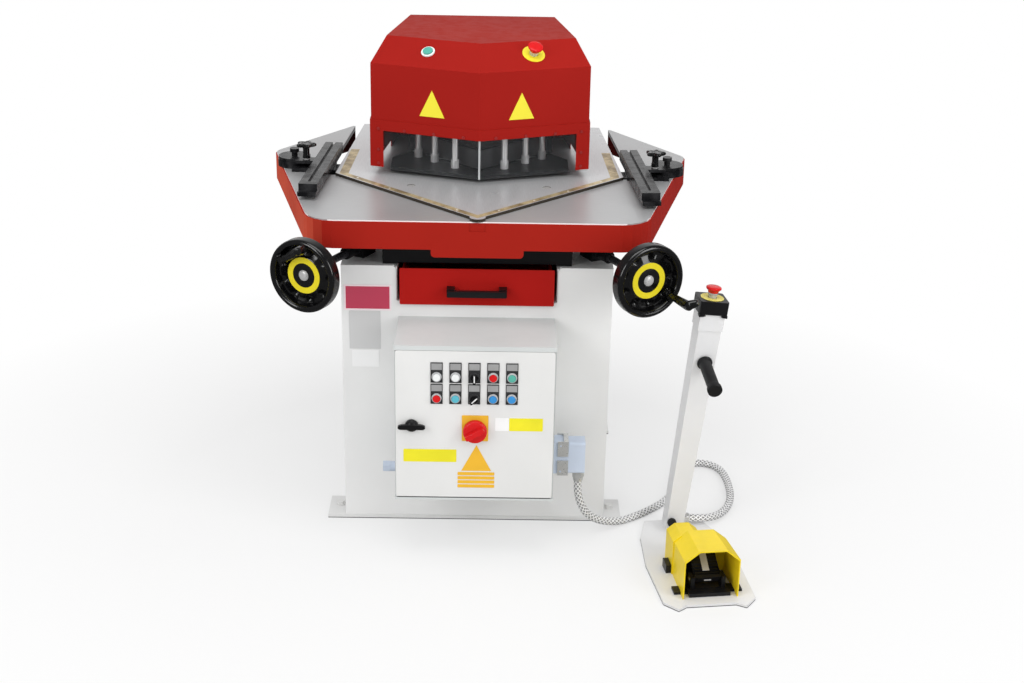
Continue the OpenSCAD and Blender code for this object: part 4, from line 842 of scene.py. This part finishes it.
def mushroom(name, at):
    """A turned metal neck under a red domed head; at is where the head's underside stands."""
    shape = Shape().lathe([(0, -0.0275), (0.0108, -0.0275), (0.0108, -0.0062), (0.0128, -0.0057),
                           (0.0128, -0.001), (0.0105, 0), (0, 0)], dull_steel, at, 40)
    shape.lathe([(0, -0.0006), (0.0132, -0.0006), (0.0140, 0.003), (0.0162, 0.0062), (0.0192, 0.0085),
                 (0.0199, 0.0105), (0.0194, 0.0128), (0.0172, 0.0142), (0.010, 0.0148), (0, 0.0149)],
                caps["red"], at, 56)
    shape.piece(name + "_mushroom", name, node=name, slot="red_plastic")


def crown(node, press):
    """A place on the middle of a button's top, square to the way it is pressed."""
    way = -find_joint(press)[1]
    points = [v.co for v in frame["nodes"][node].data.vertices]
    top = max(point.dot(way) for point in points)
    tops = [point for point in points if point.dot(way) > top - 0.0004]
    return along(sum(tops, Vector()) / len(tops), way)


post = crown("post_estop", "post_estop_press")
head_h = 0.015
mushroom("hood_estop", crown("hood_estop", "hood_estop_press") @ moved(0, 0, -head_h))
mushroom("post_estop", post @ moved(0, 0, -head_h))

start_cap = Shape().lathe([(0, -0.024), (0.0108, -0.024), (0.0108, -0.004), (0.0129, -0.004), (0.0129, -0.001),
                           (0.0118, -0.0002), (0, 0)], caps["green"],
                          crown("hood_start_button", "hood_start_press"), 44)
start_cap.piece("hood_start_cap", "hood_start_button", node="hood_start_button", slot="green_plastic")


# ---- Plug ----
# The hose's plug is moulded in blue-grey plastic and sits on the side of the control box. The two levers that
# lock it are zinc plated, as the screws are.

dress("plug_connector", moulded("plug_grey", (0.55, 0.62, 0.74), 0.36), 0.0012)


# ---- Pedal stand ----
# A black switch housing with a scalloped lower edge sits on the post, with a pale yellow disc on it under the
# mushroom. The grip is a rubber handle with a flange and fine rings. All share the post's lean and turn.

treadle_pin, across = find_joint("treadle_tilt")
across = -across
back = Vector((0, 0, 1)).cross(across)
stand = stood(treadle_pin, across, back, (0, 0, 1))
post_way = post.to_3x3().col[2]
post = stood(post.translation, back.cross(post_way), back, post_way)

pale_yellow = moulded("pale_yellow", (0.78, 0.70, 0.16), 0.4)
half, tall, mushroom_h = 0.037, 0.035, 0.029
under = post @ moved(0, 0, -mushroom_h - tall - 0.001)
head = Shape().prism(round_corners(half, half, 0.006), 0, tall, satin_black, under)
for quarter in range(4):
    face = under @ rotated(90 * quarter, "Z") @ moved(0, -half, 0) @ rotated(90, "X")
    for corner in (-1, 1):
        head.prism([(corner * half, 0), (corner * (half - 0.015), 0), (corner * (half - 0.018), -0.003),
                    (corner * (half - 0.012), -0.006), (corner * half, -0.007)], -0.0002, -0.0022,
                   satin_black, face)
head.lathe([(0.012, tall + 0.0002), (0.030, tall + 0.0002), (0.030, tall + 0.001), (0.012, tall + 0.001)],
           pale_yellow, under, 56)
head.piece("post_switch_head", "machine", 0.0012, node="post_head", slot="black_plastic")

grip_rubber = moulded("grip_rubber", (0.011, 0.011, 0.012), 0.45, 0.0002, 500)
grip_droop = 101
grip_root = post @ moved(0, -0.0279, -0.1954) @ rotated(grip_droop, "X")
flange = [(0, 0.0036), (0.0198, 0.0040), (0.0200, 0.0055), (0.0196, 0.0078), (0.0172, 0.0092)]
rings = [(0.0158 - 0.0006 * (i % 2), 0.012 + 0.0045 * i) for i in range(23)]
end = [(0.0160, 0.1165), (0.0186, 0.1190), (0.0189, 0.1225), (0.0187, 0.1300), (0.0165, 0.1318), (0, 0.1319)]
grip = Shape().lathe(flange + rings + end, grip_rubber, grip_root, 48)
knob_at = post @ moved(-0.014, -0.0241, -0.6524) @ rotated(90, "X")
grip.lathe([(0, 0.0002), (0.0059, 0.0002), (0.0059, 0.0085), (0.0110, 0.0090), (0.0119, 0.0110),
            (0.0119, 0.0190), (0.0105, 0.0215), (0, 0.0219)], grip_rubber, knob_at, 36)
grip.piece("post_grip_rubber", "machine", node="post_grip", slot="black_plastic")


# ---- Foot pedal ----
# A yellow moulded cover over a black pedal with a pale stripe down its middle. The tread is moulded with cross
# ribs and tilts on a steel pin in the pedal's body.

dress("pedal_guard", moulded("cover_yellow", (0.84, 0.63, 0.014), 0.34), 0.0018)
dress("pedal_body", satin_black, 0.001)
stripe_white = moulded("stripe_white", (0.62, 0.62, 0.62), 0.5)
tread_slope = 27
tread = stand @ rotated(tread_slope, "X")
half_w = 0.033
treadle = Shape().prism([(-half_w, -0.008), (half_w, -0.008), (half_w, 0.066), (0.022, 0.096), (-0.022, 0.096),
                         (-half_w, 0.066)], 0.001, 0.0085, satin_black, tread)
for i in range(7):
    y = 0.010 * i
    treadle.box((-half_w + 0.002, -0.002 + y, 0.0084), (half_w - 0.002, 0.002 + y, 0.0090), satin_black, tread)
treadle.box((-0.0085, 0.016, 0.0084), (0.0085, 0.095, 0.0092), stripe_white, tread)
treadle.box((-half_w, -0.007, -0.007), (half_w, 0.007, 0.002), satin_black, tread)
treadle.box((-half_w, -0.008, 0.0085), (half_w, 0.002, 0.0135), satin_black, tread)
treadle.box((-0.009, -0.0083, 0.0005), (0.009, -0.008, 0.0055), stripe_white, tread)
for side in (-1, 1):
    treadle.lathe([(0, half_w - 0.001), (0.0039, half_w - 0.001), (0.0039, 0.0449), (0, 0.0449)], dull_steel,
                  stand @ rotated(90 * side, "Y"), 24)
treadle.piece("treadle_tread", "treadle", 0.0006, node="treadle", slot="black_plastic")


# ---- Gauges ----
# Two swing fences of blackened steel, rubbed paler in places, on carriages that slide in the gaps by the bed.
# Each is clamped by a five-lobed knob on a sleeve with a bright ring.

gauge_steel = Finish("gauge_steel", (0.02, 0.02, 0.022), Roughness=0.2, Specular_IOR_Level=0.22)
rub = gauge_steel.ramp(gauge_steel.grain(26, (1, 4, 1), 5), 0.4, 0.72)
gauge_steel.set(Base_Color=gauge_steel.blend(rub, (0.005, 0.005, 0.006), (0.035, 0.035, 0.037)))
gauge_steel.set(Roughness=0.17 + 0.16 * gauge_steel.ramp(gauge_steel.grain(40), 0.35, 0.7))
dress("gauge_carriage_left gauge_carriage_right gauge_fence_left gauge_fence_right", gauge_steel, 0.0012)


def lobes(radius, height, turn):
    """Five lobes round the knob's head."""
    swell = 1 + 0.20 * math.cos(5 * turn) * (height > 0.0335) * min(1, radius / 0.012)
    return radius * swell, height


for side in ("left", "right"):
    node = "star_knob_" + side
    pivot, _ = find_joint(node + "_turn")
    foot = moved(pivot[0], pivot[1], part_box(node)[0][2])
    knob = Shape()
    knob.lathe([(0.0053, 0.0002), (0.0098, 0.0002), (0.0100, 0.001), (0.0100, 0.003)], dull_steel, foot, 80)
    knob.lathe([(0.0100, 0.003), (0.0098, 0.006), (0.0088, 0.012), (0.0088, 0.030), (0.0120, 0.034),
                (0.0200, 0.035), (0.0230, 0.0370), (0.0236, 0.0400), (0.0228, 0.0430), (0.0200, 0.0446),
                (0.0120, 0.0449), (0.0105, 0.0438), (0.0060, 0.0438), (0, 0.0442)],
               gloss_black, foot, 80, lobes)
    knob.piece("knob_head_" + side, node, node=node, slot="black_plastic")
